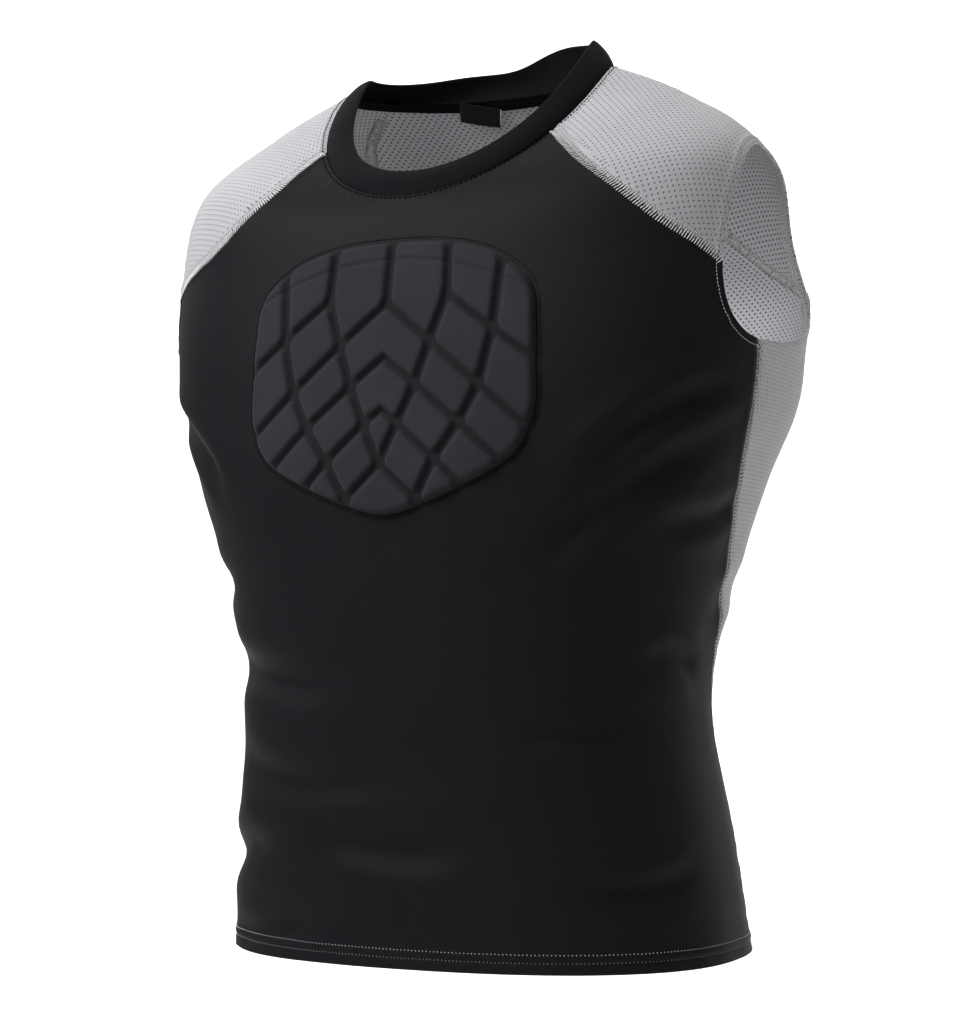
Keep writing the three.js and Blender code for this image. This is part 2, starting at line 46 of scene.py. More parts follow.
view = {
    "azimuth": 25.0,
    "distance": 1.6,
    "height": -0.397,
    "pitch": 3.32,
    "lens": 81.0,
    "aside": 0.0017,  # the shirt's middle lies a little left of the picture's
}

studio = {
    "floorHeight": -1.4,
    "floorSize": 7.0,
    "bend": 1.6,
    "paper": (0.9, 0.9, 0.9),
    "sky": 0.215,
    # place, aim, width, height, watts
    "lamps": {
        "keyLeft": ((-0.82, -1.4, 1.05), (0, 0, -0.24), 1.2, 1.2, 54),
        "fillRight": ((2.3, 0.2, 0.2), (0, 0, -0.3), 1.0, 1.6, 5),
        "topBack": ((0.2, 1.0, 1.8), (0, 0, -0.2), 2.0, 1.0, 16),
        "washLeft": ((-2.8, 1.5, 1.7), (-1.9, 3.5, -0.3), 1.6, 1.6, 85),
        "washRight": ((0.4, 1.6, 1.7), (-0.9, 3.5, -0.3), 1.6, 1.6, 85),
    },
}


def addObject(name, data):
    item = bpy.data.objects.new(name, data)
    bpy.context.collection.objects.link(item)
    return item


def placeCamera():
    data = bpy.data.cameras.new("photoView")
    data.lens = view["lens"]
    data.sensor_width = 36.0
    data.clip_end = 50
    camera = addObject("photoView", data)
    turn = math.radians(view["azimuth"])
    away, aside = view["distance"], view["aside"]
    camera.location = (away * math.sin(turn) + aside * math.cos(turn),
                       -away * math.cos(turn) + aside * math.sin(turn), view["height"])
    camera.rotation_euler = (math.radians(90 + view["pitch"]), 0, turn)
    bpy.context.scene.camera = camera


def hangLamps():
    for name, (place, aim, width, height, watts) in studio["lamps"].items():
        data = bpy.data.lights.new(name, "AREA")
        data.shape = "RECTANGLE"
        data.size, data.size_y, data.energy = width, height, watts
        lamp = addObject(name, data)
        lamp.location = place
        lamp.rotation_euler = (Vector(aim) - Vector(place)).to_track_quat("-Z", "Y").to_euler()
    world = bpy.data.worlds.new("softRoom")
    bpy.context.scene.world = world
    world.use_nodes = True
    sky = world.node_tree.nodes["Background"].inputs
    sky["Color"].default_value = (1, 1, 1, 1)
    sky["Strength"].default_value = studio["sky"]
    bpy.context.scene.view_settings.view_transform = "Standard"


# Floor and wall in one sheet of paper with a round bend
def layPaper():
    half, bend, low = studio["floorSize"] / 2, studio["bend"], studio["floorHeight"]
    profile = [(-half, low), (half - bend, low)]
    profile += [(half - bend + bend * math.sin(t), low + bend - bend * math.cos(t))
                for t in np.linspace(0.1, math.pi / 2, 14)]
    profile.append((half, low + 4 * bend))
    verts = [(x, y, z) for y, z in profile for x in (-2 * half, 2 * half)]
    faces = [(2 * k, 2 * k + 1, 2 * k + 3, 2 * k + 2) for k in range(len(profile) - 1)]
    mesh = bpy.data.meshes.new("paperSweep")
    mesh.from_pydata(verts, [], faces)
    mesh.shade_smooth()
    mesh.materials.append(newMaterial("palePaper", {"colour": studio["paper"], "roughness": 0.9})[0])
    addObject("paperSweep", mesh)


def newMaterial(name, look):
    material = bpy.data.materials.new(name)
    material.use_nodes = True
    tree = material.node_tree
    shader = tree.nodes["Principled BSDF"]
    shader.inputs["Base Color"].default_value = (*look["colour"], 1)
    shader.inputs["Roughness"].default_value = look["roughness"]
    shader.inputs["Specular IOR Level"].default_value = look.get("gloss", 0.3)
    shader.inputs["Sheen Weight"].default_value = look.get("sheen", 0.0)
    shader.inputs["Sheen Roughness"].default_value = 0.5
    return material, tree, shader


def put(tree, socket, value):
    if isinstance(value, bpy.types.NodeSocket):
        tree.links.new(value, socket)
    else:
        socket.default_value = value


def maths(tree, operation, *values):
    node = tree.nodes.new("ShaderNodeMath")
    node.operation = operation
    for socket, value in zip(node.inputs, values):
        put(tree, socket, value)
    return node.outputs[0]


def clothUV(tree):
    place = tree.nodes.new("ShaderNodeUVMap")
    place.uv_map = "cloth"
    split = tree.nodes.new("ShaderNodeSeparateXYZ")
    tree.links.new(place.outputs["UV"], split.inputs[0])
    return place.outputs["UV"], split.outputs["X"], split.outputs["Y"]


def pointValue(tree, name):
    node = tree.nodes.new("ShaderNodeAttribute")
    node.attribute_name = name
    return node.outputs["Fac"]


def noiseOn(tree, vector, scale, detail=2.0, stretch=(1, 1, 1)):
    mapping = tree.nodes.new("ShaderNodeMapping")
    mapping.inputs["Scale"].default_value = stretch
    tree.links.new(vector, mapping.inputs["Vector"])
    noise = tree.nodes.new("ShaderNodeTexNoise")
    noise.inputs["Scale"].default_value = scale
    noise.inputs["Detail"].default_value = detail
    tree.links.new(mapping.outputs[0], noise.inputs["Vector"])
    return noise.outputs["Fac"]


def blendColours(tree, share, first, second):
    mix = tree.nodes.new("ShaderNodeMix")
    mix.data_type = "RGBA"
    put(tree, mix.inputs["Factor"], share)
    put(tree, mix.inputs["A"], (*first, 1) if isinstance(first, tuple) else first)
    put(tree, mix.inputs["B"], (*second, 1) if isinstance(second, tuple) else second)
    return mix.outputs["Result"]


def raiseBy(tree, shader, height, distance):
    bump = tree.nodes.new("ShaderNodeBump")
    bump.inputs["Distance"].default_value = distance
    bump.inputs["Strength"].default_value = 1.0
    tree.links.new(height, bump.inputs["Height"])
    tree.links.new(bump.outputs[0], shader.inputs["Normal"])


# how many specks or waves each noise has in a metre of cloth
noises = {"knitGrain": 900, "knitDye": 14, "meshGrain": 1100, "meshDye": 18, "fibre": 1800}


# Fine stretch knit: upright wales with short courses across them, and a slow unevenness in the dye
def knitMaterial(name, look):
    material, tree, shader = newMaterial(name, look)
    vector = clothUV(tree)[0]
    knit = noiseOn(tree, vector, 1, 1, (1 / look["wale"], 1 / look["course"], 1))
    grain = noiseOn(tree, vector, noises["knitGrain"], 3)
    uneven = noiseOn(tree, vector, noises["knitDye"], 3)
    height = maths(tree, "MULTIPLY_ADD", grain, look["grain"], knit)
    raiseBy(tree, shader, height, look["relief"])
    share = maths(tree, "MULTIPLY_ADD", grain, 0.55, maths(tree, "MULTIPLY_ADD", uneven, 0.5, -0.02))
    colour = blendColours(tree, share, look["dark"], look["light"])
    # painted shade: where the raised mask is low, in the pad's grooves and at its rim, the colour turns to the
    # darker groove colour
    if "groove" in look:
        colour = blendColours(tree, pointValue(tree, "raised"), look["groove"], colour)
    tree.links.new(colour, shader.inputs["Base Color"])
    return material


# Eyelet knit: staggered rows of small oval pinholes with a soft rim, painted dark inside as the shade seen through
# them
def eyeletMaterial(name, look):
    material, tree, shader = newMaterial(name, look)
    calc = partial(maths, tree)
    vector, u, v = clothUV(tree)
    rows = calc("DIVIDE", v, look["rowPitch"])
    odd = calc("MULTIPLY", calc("FLOORED_MODULO", calc("FLOOR", rows), 2.0), 0.5)
    columns = calc("ADD", calc("DIVIDE", u, look["columnPitch"]), odd)
    across, upward = [calc("MULTIPLY", calc("SUBTRACT", calc("FRACT", spot), 0.5), look[pitch] / look[size])
                      for spot, pitch, size in ((columns, "columnPitch", "holeWidth"),
                                                (rows, "rowPitch", "holeHeight"))]
    reach = calc("SQRT", calc("ADD", calc("POWER", across, 2.0), calc("POWER", upward, 2.0)))
    inner = pointValue(tree, "inner")
    reach = calc("MULTIPLY_ADD", inner, -look["innerHole"], reach)
    hole = tree.nodes.new("ShaderNodeMapRange")
    hole.interpolation_type = "SMOOTHSTEP"
    put(tree, hole.inputs["Value"], reach)
    for key, value in zip(("From Min", "From Max", "To Min", "To Max"), (*look["holeEdge"], 1, 0)):
        hole.inputs[key].default_value = value
    grain = noiseOn(tree, vector, noises["meshGrain"], 2)
    uneven = noiseOn(tree, vector, noises["meshDye"], 3)
    wale = calc("SINE", calc("MULTIPLY", u, 2 * math.pi / look["wale"]))
    height = calc("MULTIPLY_ADD", wale, look["waleHeight"], calc("MULTIPLY", grain, look["grain"]))
    height = calc("MULTIPLY_ADD", hole.outputs[0], -look["holeDepth"], height)
    raiseBy(tree, shader, height, look["relief"])
    share = calc("MULTIPLY_ADD", grain, 0.5, calc("MULTIPLY", uneven, 0.5))
    yarn = blendColours(tree, share, look["dark"], look["light"])
    # painted shade: the holes get a dark colour, darker still on the inner face
    deep = blendColours(tree, inner, look["hole"], look["innerHoleShade"])
    colour = blendColours(tree, hole.outputs[0], yarn, deep)
    # light that comes through the open knit brightens the inside
    colour = blendColours(tree, calc("MULTIPLY", inner, look["lit"]), colour,
                          blendColours(tree, hole.outputs[0], look["inside"], look["innerHoleShade"]))
    tree.links.new(colour, shader.inputs["Base Color"])
    tree.links.new(colour, shader.inputs["Emission Color"])
    glow = calc("MULTIPLY", inner, look["through"])
    tree.links.new(glow, shader.inputs["Emission Strength"])
    return material


def threadMaterial(name, look):
    material, tree, shader = newMaterial(name, look)
    place = tree.nodes.new("ShaderNodeTexCoord")
    fibre = noiseOn(tree, place.outputs["Object"], noises["fibre"], 2)
    raiseBy(tree, shader, fibre, 0.0001)
    tree.links.new(blendColours(tree, fibre, look["dark"], look["colour"]), shader.inputs["Base Color"])
    return material


looks = {
    "jersey": {"colour": (0.0042, 0.004, 0.006), "dark": (0.0029, 0.0028, 0.0042),
               "light": (0.0068, 0.0066, 0.0094), "roughness": 0.66, "gloss": 0.13, "wale": 0.0011,
               "course": 0.0009, "grain": 1.2, "relief": 0.00006},
    "trim": {"colour": (0.0038, 0.0036, 0.0051), "dark": (0.0028, 0.0027, 0.0039),
             "light": (0.0057, 0.0055, 0.0076), "roughness": 0.78, "gloss": 0.06, "wale": 0.0008,
             "course": 0.0007, "grain": 1.0, "relief": 0.00005},
    # the pad's groove colour is painted shade for its grooves and its rim
    "pad": {"colour": (0.017, 0.0165, 0.0205), "dark": (0.0085, 0.0082, 0.0105),
            "light": (0.029, 0.0284, 0.0348), "groove": (0.0068, 0.0066, 0.0085), "roughness": 0.85,
            "gloss": 0.18, "sheen": 0.05, "wale": 0.0009, "course": 0.0009, "grain": 1.8, "relief": 0.00008},
    # the holes are ovals, wider on the inside; lit and through stand for light that comes through the knit
    "mesh": {"colour": (0.38, 0.38, 0.4), "dark": (0.33, 0.33, 0.345), "light": (0.45, 0.45, 0.47),
             # the hole colours are painted shade seen through the holes, darker on the inner face
             "hole": (0.12, 0.12, 0.127), "innerHoleShade": (0.09, 0.09, 0.095), "inside": (0.5, 0.5, 0.52),
             "roughness": 0.75, "gloss": 0.3, "sheen": 0.08, "wale": 0.0009, "waleHeight": 0.12, "grain": 0.5,
             "columnPitch": 0.0052, "rowPitch": 0.0027, "holeWidth": 0.00058, "holeHeight": 0.00044,
             "holeEdge": (0.75, 1.5), "holeDepth": 1.6, "innerHole": 0.4, "relief": 0.00035, "lit": 0.6,
             "through": 0.1},
    "white": {"colour": (0.72, 0.72, 0.73), "dark": (0.5, 0.5, 0.51), "roughness": 0.6},
    "grey": {"colour": (0.34, 0.34, 0.355), "dark": (0.2, 0.2, 0.21), "roughness": 0.65},
    "black": {"colour": (0.0015, 0.0015, 0.0018), "dark": (0.0008, 0.0008, 0.001), "roughness": 0.85,
              "gloss": 0.05},
    "label": {"colour": (0.003, 0.0034, 0.0042), "dark": (0.0022, 0.0025, 0.0032),
              "light": (0.0045, 0.005, 0.006), "roughness": 0.55, "gloss": 0.2, "wale": 0.0004,
              "course": 0.0004, "grain": 0.3, "relief": 0.00003},
}


def mixLooks():
    makers = {knitMaterial: ("jersey", "trim", "pad", "label"), eyeletMaterial: ("mesh",),
              threadMaterial: ("white", "grey", "black")}
    return {key: maker(f"{key}Cloth", looks[key]) for maker, keys in makers.items() for key in keys}


# The cloth's outside is a stack of loops, from the hem up to the neck seam. A place on it is an angle,
# in degrees from the centre front towards the wearer's left, and a level, which counts loops from the hem.
cloth = {
    # front, side and back height, width, reach ahead and behind, middle, squareness of front and back
    "loops": {
        "hem": (-0.602, -0.600, -0.598, 0.180, 0.126, 0.114, 0.022, 2.5, 2.6),
        "hip": (-0.532, -0.530, -0.530, 0.173, 0.125, 0.108, 0.014, 2.5, 2.6),
        "waist": (-0.430, -0.430, -0.430, 0.162, 0.127, 0.098, 0.002, 2.4, 2.5),
        "lowRib": (-0.355, -0.355, -0.355, 0.174, 0.146, 0.106, 0.011, 2.4, 2.6),
        "rib": (-0.285, -0.285, -0.285, 0.196, 0.151, 0.120, 0.008, 2.5, 2.8),
        "chest": (-0.235, -0.235, -0.235, 0.212, 0.149, 0.142, 0.010, 2.6, 3.1),
        "underarm": (-0.197, -0.197, -0.197, 0.216, 0.146, 0.150, 0.011, 2.7, 3.3),
        "armMiddle": (-0.165, -0.132, -0.142, 0.217, 0.142, 0.160, 0.012, 2.6, 3.4),
        "shoulder": (-0.136, -0.062, -0.086, 0.203, 0.130, 0.124, 0.006, 2.5, 3.0),
        "yoke": (-0.115, -0.023, -0.038, 0.152, 0.121, 0.090, 0.002, 2.2, 2.4),
        "neck": (-0.100, 0.0, -0.002, 0.101, 0.112, 0.050, 0.0, 2.1, 2.1),
    },
    "sideClimb": 1.2,
    "seamGap": 0.0003,
    "jerseyWall": 0.0016,
    "meshWall": 0.0014,
    "sewnRim": 0.00008,
    "turnedRim": 0.0007,
    "bodyRadius": 0.165,  # turns a crease's angles into lengths
    "creaseBoost": 3.4,
}
level = {name: index for index, name in enumerate(cloth["loops"])}
loopTable = np.array(list(cloth["loops"].values()))

# Large folds: angle, level, reach in degrees and in levels, depth, lean
folds = {
    "waistRight": (-58, 2.25, 30, 0.2, 0.003, 0.1),
    "waistLeft": (66, 1.85, 26, 0.18, 0.0026, -0.12),
    "bellyAcross": (-16, 1.55, 30, 0.16, 0.0018, 0.05),
    "hipRight": (-50, 0.65, 22, 0.22, 0.0024, -0.2),
    "hipLeft": (72, 0.8, 24, 0.2, 0.002, 0.15),
    "underarmLeft": (60, 4.1, 16, 0.4, 0.0022, 0.6),
    "underarmRight": (-62, 4.2, 15, 0.4, 0.002, -0.6),
    "backWaist": (172, 2.05, 40, 0.2, 0.003, 0.08),
    "backHip": (-165, 1.1, 34, 0.2, 0.0022, -0.1),
}

# Finer creases: angle and height of both ends, bow, width, depth
creases = {
    "pitLeft": (74, -0.225, 44, -0.300, 0.010, 0.009, 0.0016),
    "pitLeftLow": (72, -0.262, 36, -0.345, 0.006, 0.010, 0.0013),
    "flankLeft": (86, -0.300, 62, -0.318, -0.004, 0.0075, 0.0011),
    "flankLeftLow": (86, -0.410, 64, -0.402, 0.004, 0.008, 0.0010),
    "waistLeftShort": (60, -0.452, 34, -0.446, -0.004, 0.007, 0.0011),
    "pitRight": (-74, -0.228, -48, -0.292, -0.008, 0.009, 0.0015),
    "flankRight": (-86, -0.330, -54, -0.352, 0.005, 0.010, 0.0010),
    "waistRightLong": (-72, -0.398, -16, -0.418, 0.008, 0.012, 0.0014),
    "waistRightLow": (-66, -0.466, -8, -0.484, 0.010, 0.012, 0.0014),
    "bellyLow": (-34, -0.512, 22, -0.522, 0.008, 0.012, 0.0014),
    "hipRightDip": (-80, -0.548, -44, -0.530, -0.006, 0.011, 0.0013),
    "hipLeftDip": (48, -0.548, 76, -0.540, 0.006, 0.008, 0.0012),
    "hemRight": (-66, -0.590, -30, -0.572, 0.004, 0.010, 0.0010),
    "backPitLeft": (118, -0.235, 146, -0.300, 0.010, 0.010, 0.0018),
    "backPitRight": (-120, -0.240, -148, -0.310, -0.010, 0.010, 0.0017),
    "backWaistTop": (204, -0.372, 150, -0.380, 0.008, 0.012, 0.0020),
    "backWaistMiddle": (212, -0.418, 156, -0.430, -0.008, 0.012, 0.0022),
    "backWaistLow": (196, -0.470, 142, -0.462, 0.008, 0.012, 0.0018),
    "backHipLeft": (110, -0.520, 140, -0.545, 0.006, 0.010, 0.0014),
    "backHipRight": (-112, -0.505, -146, -0.535, -0.006, 0.010, 0.0015),
    "bladeLeft": (150, -0.150, 168, -0.235, 0.006, 0.014, 0.0012),
    "bladeRight": (-152, -0.155, -170, -0.240, -0.006, 0.014, 0.0012),
    "sideLeft": (108, -0.352, 86, -0.366, 0.003, 0.010, 0.0007),
    "sideRight": (-110, -0.360, -88, -0.372, 0.003, 0.010, 0.0007),
}


def mix(a, b, share):
    return a + (b - a) * share


def smoothList(values, at):
    last = len(values) - 1
    index = np.clip(np.floor(at).astype(int), 0, last - 1)
    part = at - index
    a, b, c, d = (values[np.clip(index + step, 0, last)] for step in (-1, 0, 1, 2))
    p2, p3 = part ** 2, part ** 3
    return ((2 * p3 - 3 * p2 + 1) * b + (p3 - 2 * p2 + part) * (c - a) / 2
            + (3 * p2 - 2 * p3) * c + (p3 - p2) * (d - b) / 2)


def turned(angle, start):
    return (angle - start + 180) % 360 - 180


def foldDepth(angle, at):
    total = np.zeros(np.shape(angle))
    for centre, middle, wide, tall, deep, lean in folds.values():
        along = turned(angle, centre) / wide
        total += deep * np.exp(-along ** 2 - ((at - middle - lean * along) / tall) ** 2)
    return total


# Each crease is a trough with a low ridge on both sides, which fades out at its ends.
def creaseDepth(angle, height):
    total = np.zeros(np.shape(angle))
    radius, boost = cloth["bodyRadius"], cloth["creaseBoost"]
    for startAngle, startHeight, endAngle, endHeight, bow, wide, deep in creases.values():
        x, y = np.radians(turned(angle, startAngle)) * radius, height - startHeight
        endX, endY = np.radians(turned(endAngle, startAngle)) * radius, endHeight - startHeight
        size = math.hypot(endX, endY)
        along = (x * endX + y * endY) / size ** 2
        off = (x * endY - y * endX) / size - bow * 4 * along * (1 - along)
        fade = np.exp(-(np.clip(np.abs(along - 0.5) - 0.22, 0, None) / 0.2) ** 2)
        spot = np.abs(off) / wide
        total += boost * deep * fade * (np.exp(-spot ** 2) - 0.4 * np.exp(-(spot - 1.9) ** 2))
    return total


def clothPoint(angle, at):
    angle, at = np.broadcast_arrays(np.asarray(angle, float), np.asarray(at, float))
    front, side, back, width, ahead, behind, middle, boxFront, boxBack = (
        smoothList(column, at) for column in loopTable.T)
    toSide, toFront = np.sin(np.radians(angle)), np.cos(np.radians(angle))
    inFront = toFront > 0
    depth, box = np.where(inFront, ahead, behind), np.where(inFront, boxFront, boxBack)
    height = side + (np.where(inFront, front, back) - side) * np.abs(toFront) ** cloth["sideClimb"]
    reach = (np.abs(toSide / width) ** box + np.abs(toFront / depth) ** box) ** (-1 / box)
    reach = reach - foldDepth(angle, at) - creaseDepth(angle, height)
    return np.stack([reach * toSide, middle - reach * toFront, height], axis=-1)


def unit(vectors):
    return vectors / np.maximum(np.linalg.norm(vectors, axis=-1, keepdims=True), 1e-12)


def clothSlopes(angle, at):
    low, high = np.maximum(at - 0.02, 0), np.minimum(at + 0.02, level["neck"])
    around = clothPoint(angle + 0.5, at) - clothPoint(angle - 0.5, at)
    along = (clothPoint(angle, high) - clothPoint(angle, low)) / (high - low)[..., None]
    return around, along


def clothNormal(angle, at):
    around, along = clothSlopes(np.asarray(angle, float), np.asarray(at, float))
    return unit(np.cross(around, along))


def clothPlace(angle, at, out):
    return clothPoint(angle, at) + clothNormal(angle, at) * np.asarray(out)[..., None]


# Length run from the first point, down the columns (axis 0) or along the rows (axis 1)
def lengthAlong(points, axis):
    steps = np.diff(points, axis=axis, prepend=np.take(points, [0], axis))
    return np.cumsum(np.linalg.norm(steps, axis=-1), axis=axis)


# A straight grain in real size: v along the axis of the piece, u round it from one column
def grainUVs(points, axis, column):
    ridge = points[:, column]
    v = np.interp(points @ axis, ridge @ axis, lengthAlong(ridge, 0))
    steps = np.diff(points, axis=1, prepend=points[:, :1])
    steps = steps - (steps @ axis)[..., None] * axis
    u = np.cumsum(np.linalg.norm(steps, axis=-1), axis=1)
    return np.stack([u - u[:, column:column + 1], v], axis=-1)


# Lays a grid of points flat as cloth lies: every short run keeps its length as well as it can.
def laidFlat(points, passes=900):
    row, column = np.array(points.shape[:2]) // 2
    over, up = lengthAlong(points, 1), lengthAlong(points, 0)
    flat = np.stack([over - over[:, column:column + 1], up - up[row]], axis=-1)
    low, high, every = slice(None, -1), slice(1, None), slice(None)
    ends = [((low, every), (high, every)), ((every, low), (every, high)), ((low, low), (high, high)),
            ((low, high), (high, low))]
    runs = [(first, second, np.linalg.norm(points[second] - points[first], axis=-1)[..., None])
            for first, second in ends]
    for _ in range(passes):
        move = np.zeros(flat.shape)
        for first, second, length in runs:
            gap = flat[second] - flat[first]
            size = np.maximum(np.linalg.norm(gap, axis=-1, keepdims=True), 1e-7)
            pull = gap * (0.5 - 0.5 * length / size)
            move[first] += pull
            move[second] -= pull
        flat = flat + move * 0.3
    return flat


def makePiece(name, points, faces, look, uvs=None):
    mesh = bpy.data.meshes.new(name)
    mesh.from_pydata(points.tolist(), [], faces)
    mesh.validate()
    mesh.shade_smooth()
    if uvs is not None:
        layer = mesh.uv_layers.new(name="cloth")
        index = np.zeros(len(mesh.loops), np.int32)
        mesh.loops.foreach_get("vertex_index", index)
        layer.data.foreach_set("uv", np.asarray(uvs)[index].astype(np.float32).ravel())
    mesh.materials.append(materials[look])
    piece = addObject(name, mesh)
    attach(piece, "root")
    return piece


def gridFaces(rows, cols, start=0, flip=False):
    i, j = np.meshgrid(np.arange(rows - 1), np.arange(cols - 1), indexing="ij")
    a = (start + i * cols + j).ravel()
    quads = np.stack([a, a + 1, a + cols + 1, a + cols], axis=1)
    return (quads[:, ::-1] if flip else quads).tolist()


def paintPoints(piece, name, values):
    layer = piece.data.attributes.new(name, "FLOAT", "POINT")
    layer.data.foreach_set("value", values.astype(np.float32))


# A wall of cloth from its outer points, with a rounded rim. Free is 1 where the edge is open and turned.
def clothShell(name, outer, normals, wall, free, look, uvs):
    rows, cols = outer.shape[:2]
    inner = outer - normals * np.asarray(wall)[..., None]
    border = [(0, j) for j in range(cols)] + [(i, cols - 1) for i in range(1, rows)]
    border += [(rows - 1, j) for j in range(cols - 2, -1, -1)] + [(i, 0) for i in range(rows - 2, 0, -1)]
    at = np.array(border)
    step = np.clip(at, 1, [rows - 2, cols - 2])
    outward = unit(outer[at[:, 0], at[:, 1]] - outer[step[:, 0], step[:, 1]])
    bulge = mix(cloth["sewnRim"], cloth["turnedRim"], free[at[:, 0], at[:, 1]])[:, None]
    middle = (outer + inner)[at[:, 0], at[:, 1]] / 2 + outward * bulge
    points = np.concatenate([outer.reshape(-1, 3), inner.reshape(-1, 3), middle])
    count, size = len(border), rows * cols
    faces = gridFaces(rows, cols) + gridFaces(rows, cols, size, flip=True)
    ids = at[:, 0] * cols + at[:, 1]
    for k in range(count):
        n = (k + 1) % count
        faces.append((ids[n], ids[k], 2 * size + k, 2 * size + n))
        faces.append((2 * size + n, 2 * size + k, size + ids[k], size + ids[n]))
    flat = uvs.reshape(-1, 2)
    piece = makePiece(name, points, faces, look, np.concatenate([flat, flat, flat[ids]]))
    paintPoints(piece, "inner", np.concatenate([np.zeros(size), np.ones(size + count)]))
    return piece


# An upright ring of places, each at a turn from -90 at its lowest to 90 at its highest. The raglan seams start
# at the corners' turns.
armhole = {"bottomAngle": 79.5, "topAngle": 88.0, "reach": {"front": -14.0, "back": 36.0},
           "corner": {"front": -9.0, "back": -24.0}}
raglan = {
    "neckCorner": {"front": 53.0, "back": 111.0},
    # turn added to a straight run, in equal steps from the armhole to the neck
    "bow": {("front", "left"): (0, -7.4, -9.8, -8.6, -5, 0),
            ("front", "right"): (0, -12, -14.7, -13, -7.6, 0),
            ("back", "left"): (0, 15, 19, 11, 3, 0),
            ("back", "right"): (0, 15, 19, 11, 3, 0)},
}
# angle of the side seam at each level from the hem to the underarm
sideSeam = np.array([107, 106, 101, 91.5, 83.5, 80, 79.5])


def armholeEdge(side, turn):
    rise, spread = (1 + np.sin(np.radians(turn))) / 2, np.cos(np.radians(turn))
    angle = mix(armhole["bottomAngle"], armhole["topAngle"], rise) + armhole["reach"][side] * spread
    return angle, mix(level["underarm"], level["shoulder"], rise)


def raglanSeam(side, hand, part):
    startAngle, startAt = armholeEdge(side, armhole["corner"][side])
    bow = np.array(raglan["bow"][side, hand], float)
    part = np.asarray(part, float)
    angle = mix(startAngle, raglan["neckCorner"][side], part) + smoothList(bow, part * (len(bow) - 1))
    return angle, mix(startAt, level["neck"], part)


panels = {
    # rough sizes and steps, for the spacing of the mesh
    "panelAcross": (0.6, 0.0045),
    "shoulderUp": (0.13, 0.004),
    "shoulderOver": (0.2, 0.0042),
    # distances from an edge and from the hem where the mesh is closer, for rolled seams and stitch rows
    "edgeSteps": np.array([0, 0.7, 1.5, 2.4, 3.4, 4.5, 5.8, 7.2, 9, 11.5]) / 1000,
    "hemSteps": np.array([0, 0.8, 1.8, 3, 4.5, 6, 6.6, 7.2, 7.8, 8.6, 9.8, 11.2, 11.9, 12.5, 13.1, 14, 15.5, 17.5,
                          21, 25]) / 1000,
    "hemToHip": 0.07,
    # the turned hem is raised, thicker up to a level, dips at its two rows and swells between them
    "hem": {"height": 0.0140, "raise": 0.0006, "thicker": 0.0006, "thickTo": 0.2, "lowDip": 0.0006,
            "highDip": 0.0003, "dipReach": 0.0012, "swell": 0.0005, "swellReach": 0.0016},
    "hemStitches": (0.0072, 0.0125),
    # the turned band at the armholes, with its row of stitches
    "band": {"width": 0.0075, "raise": 0.0008, "soft": 0.0008, "rowAt": 0.0045, "rowDip": 0.0006},
    "seam": {"dip": 0.0011, "reach": 0.0022, "ridge": 0.0004, "ridgeAt": 0.006, "ridgeReach": 0.003},
    "neck": {"dip": 0.0008, "reach": 0.002},
    "pucker": 0.00035,
}


def edgedSpots(length, step):
    near = panels["edgeSteps"] / length
    inside = np.linspace(near[-1], 1 - near[-1], max(int(length * (1 - 2 * near[-1]) / step), 2))
    return np.concatenate([near[:-1], inside, 1 - near[:-1][::-1]])


# The half outline of a panel from the hem to the neck, with the level of the middle of each row,
# and what the edge is there: 0 side seam, 1 armhole, 2 raglan seam
def panelEdge(side, hand):
    hemRows = panels["hemSteps"] / panels["hemToHip"]
    rise = np.concatenate([hemRows, np.linspace(hemRows[-1], level["underarm"], 96)[1:]])
    turns = np.linspace(-90, armhole["corner"][side], 17)[1:]
    parts = np.sort(np.concatenate([np.linspace(0, 1, 46)[1:], [0.985, 0.9925]]))
    armAngle, armAt = armholeEdge(side, turns)
    cornerAt = armholeEdge(side, armhole["corner"][side])[1]
    seamAngle, seamAt = raglanSeam(side, hand, parts)
    angle = np.concatenate([smoothList(sideSeam, rise), armAngle, seamAngle])
    at = np.concatenate([rise, armAt, seamAt])
    middle = np.concatenate([rise, mix(level["underarm"], cornerAt, np.linspace(0, 1, 17)[1:]), seamAt])
    kind = np.concatenate([np.zeros(len(rise)), np.ones(len(turns)), np.full(len(parts), 2)])
    return angle, at, middle, kind


def panelPlaces(side):
    centre = 0 if side == "front" else 180
    spots = edgedSpots(*panels["panelAcross"]) * 2 - 1
    if side == "back":
        spots = -spots
    (left, at, middle, kind), (right, *_) = panelEdge(side, "left"), panelEdge(side, "right")
    right = -right if side == "front" else 360 - right
    reach = np.where(spots[None, :] > 0, left[:, None] - centre, centre - right[:, None])
    angle = centre + reach * spots[None, :]
    return angle, mix(middle[:, None], at[:, None], spots[None, :] ** 2), kind


# Length run along each row, and the distance to the nearer end of the row
def fromSides(points):
    run = lengthAlong(points, 1)
    return run, np.minimum(run, run[:, -1:] - run)


def puckers(along, spread, seed):
    waves = np.random.default_rng(seed)
    total = np.zeros(np.shape(along))
    for pitch in (0.0065, 0.0091, 0.0137, 0.021):
        total += np.sin(along * 2 * math.pi / pitch + waves.uniform(0, 6.3)) / 4
    return total * spread


def bell(distance, wide):
    return np.exp(-(distance / wide) ** 2)


def softStep(value, start, end):
    share = np.clip((value - start) / (end - start), 0, 1)
    return share * share * (3 - 2 * share)


def bandRelief(fromRim):
    band = panels["band"]
    step = softStep(fromRim, band["width"] - band["soft"], band["width"] + band["soft"])
    return band["raise"] * (1 - step) - band["rowDip"] * bell(fromRim - band["rowAt"], band["soft"])


def seamRelief(fromSeam):
    seam = panels["seam"]
    return (seam["ridge"] * bell(fromSeam - seam["ridgeAt"], seam["ridgeReach"])
            - seam["dip"] * bell(fromSeam, seam["reach"]))


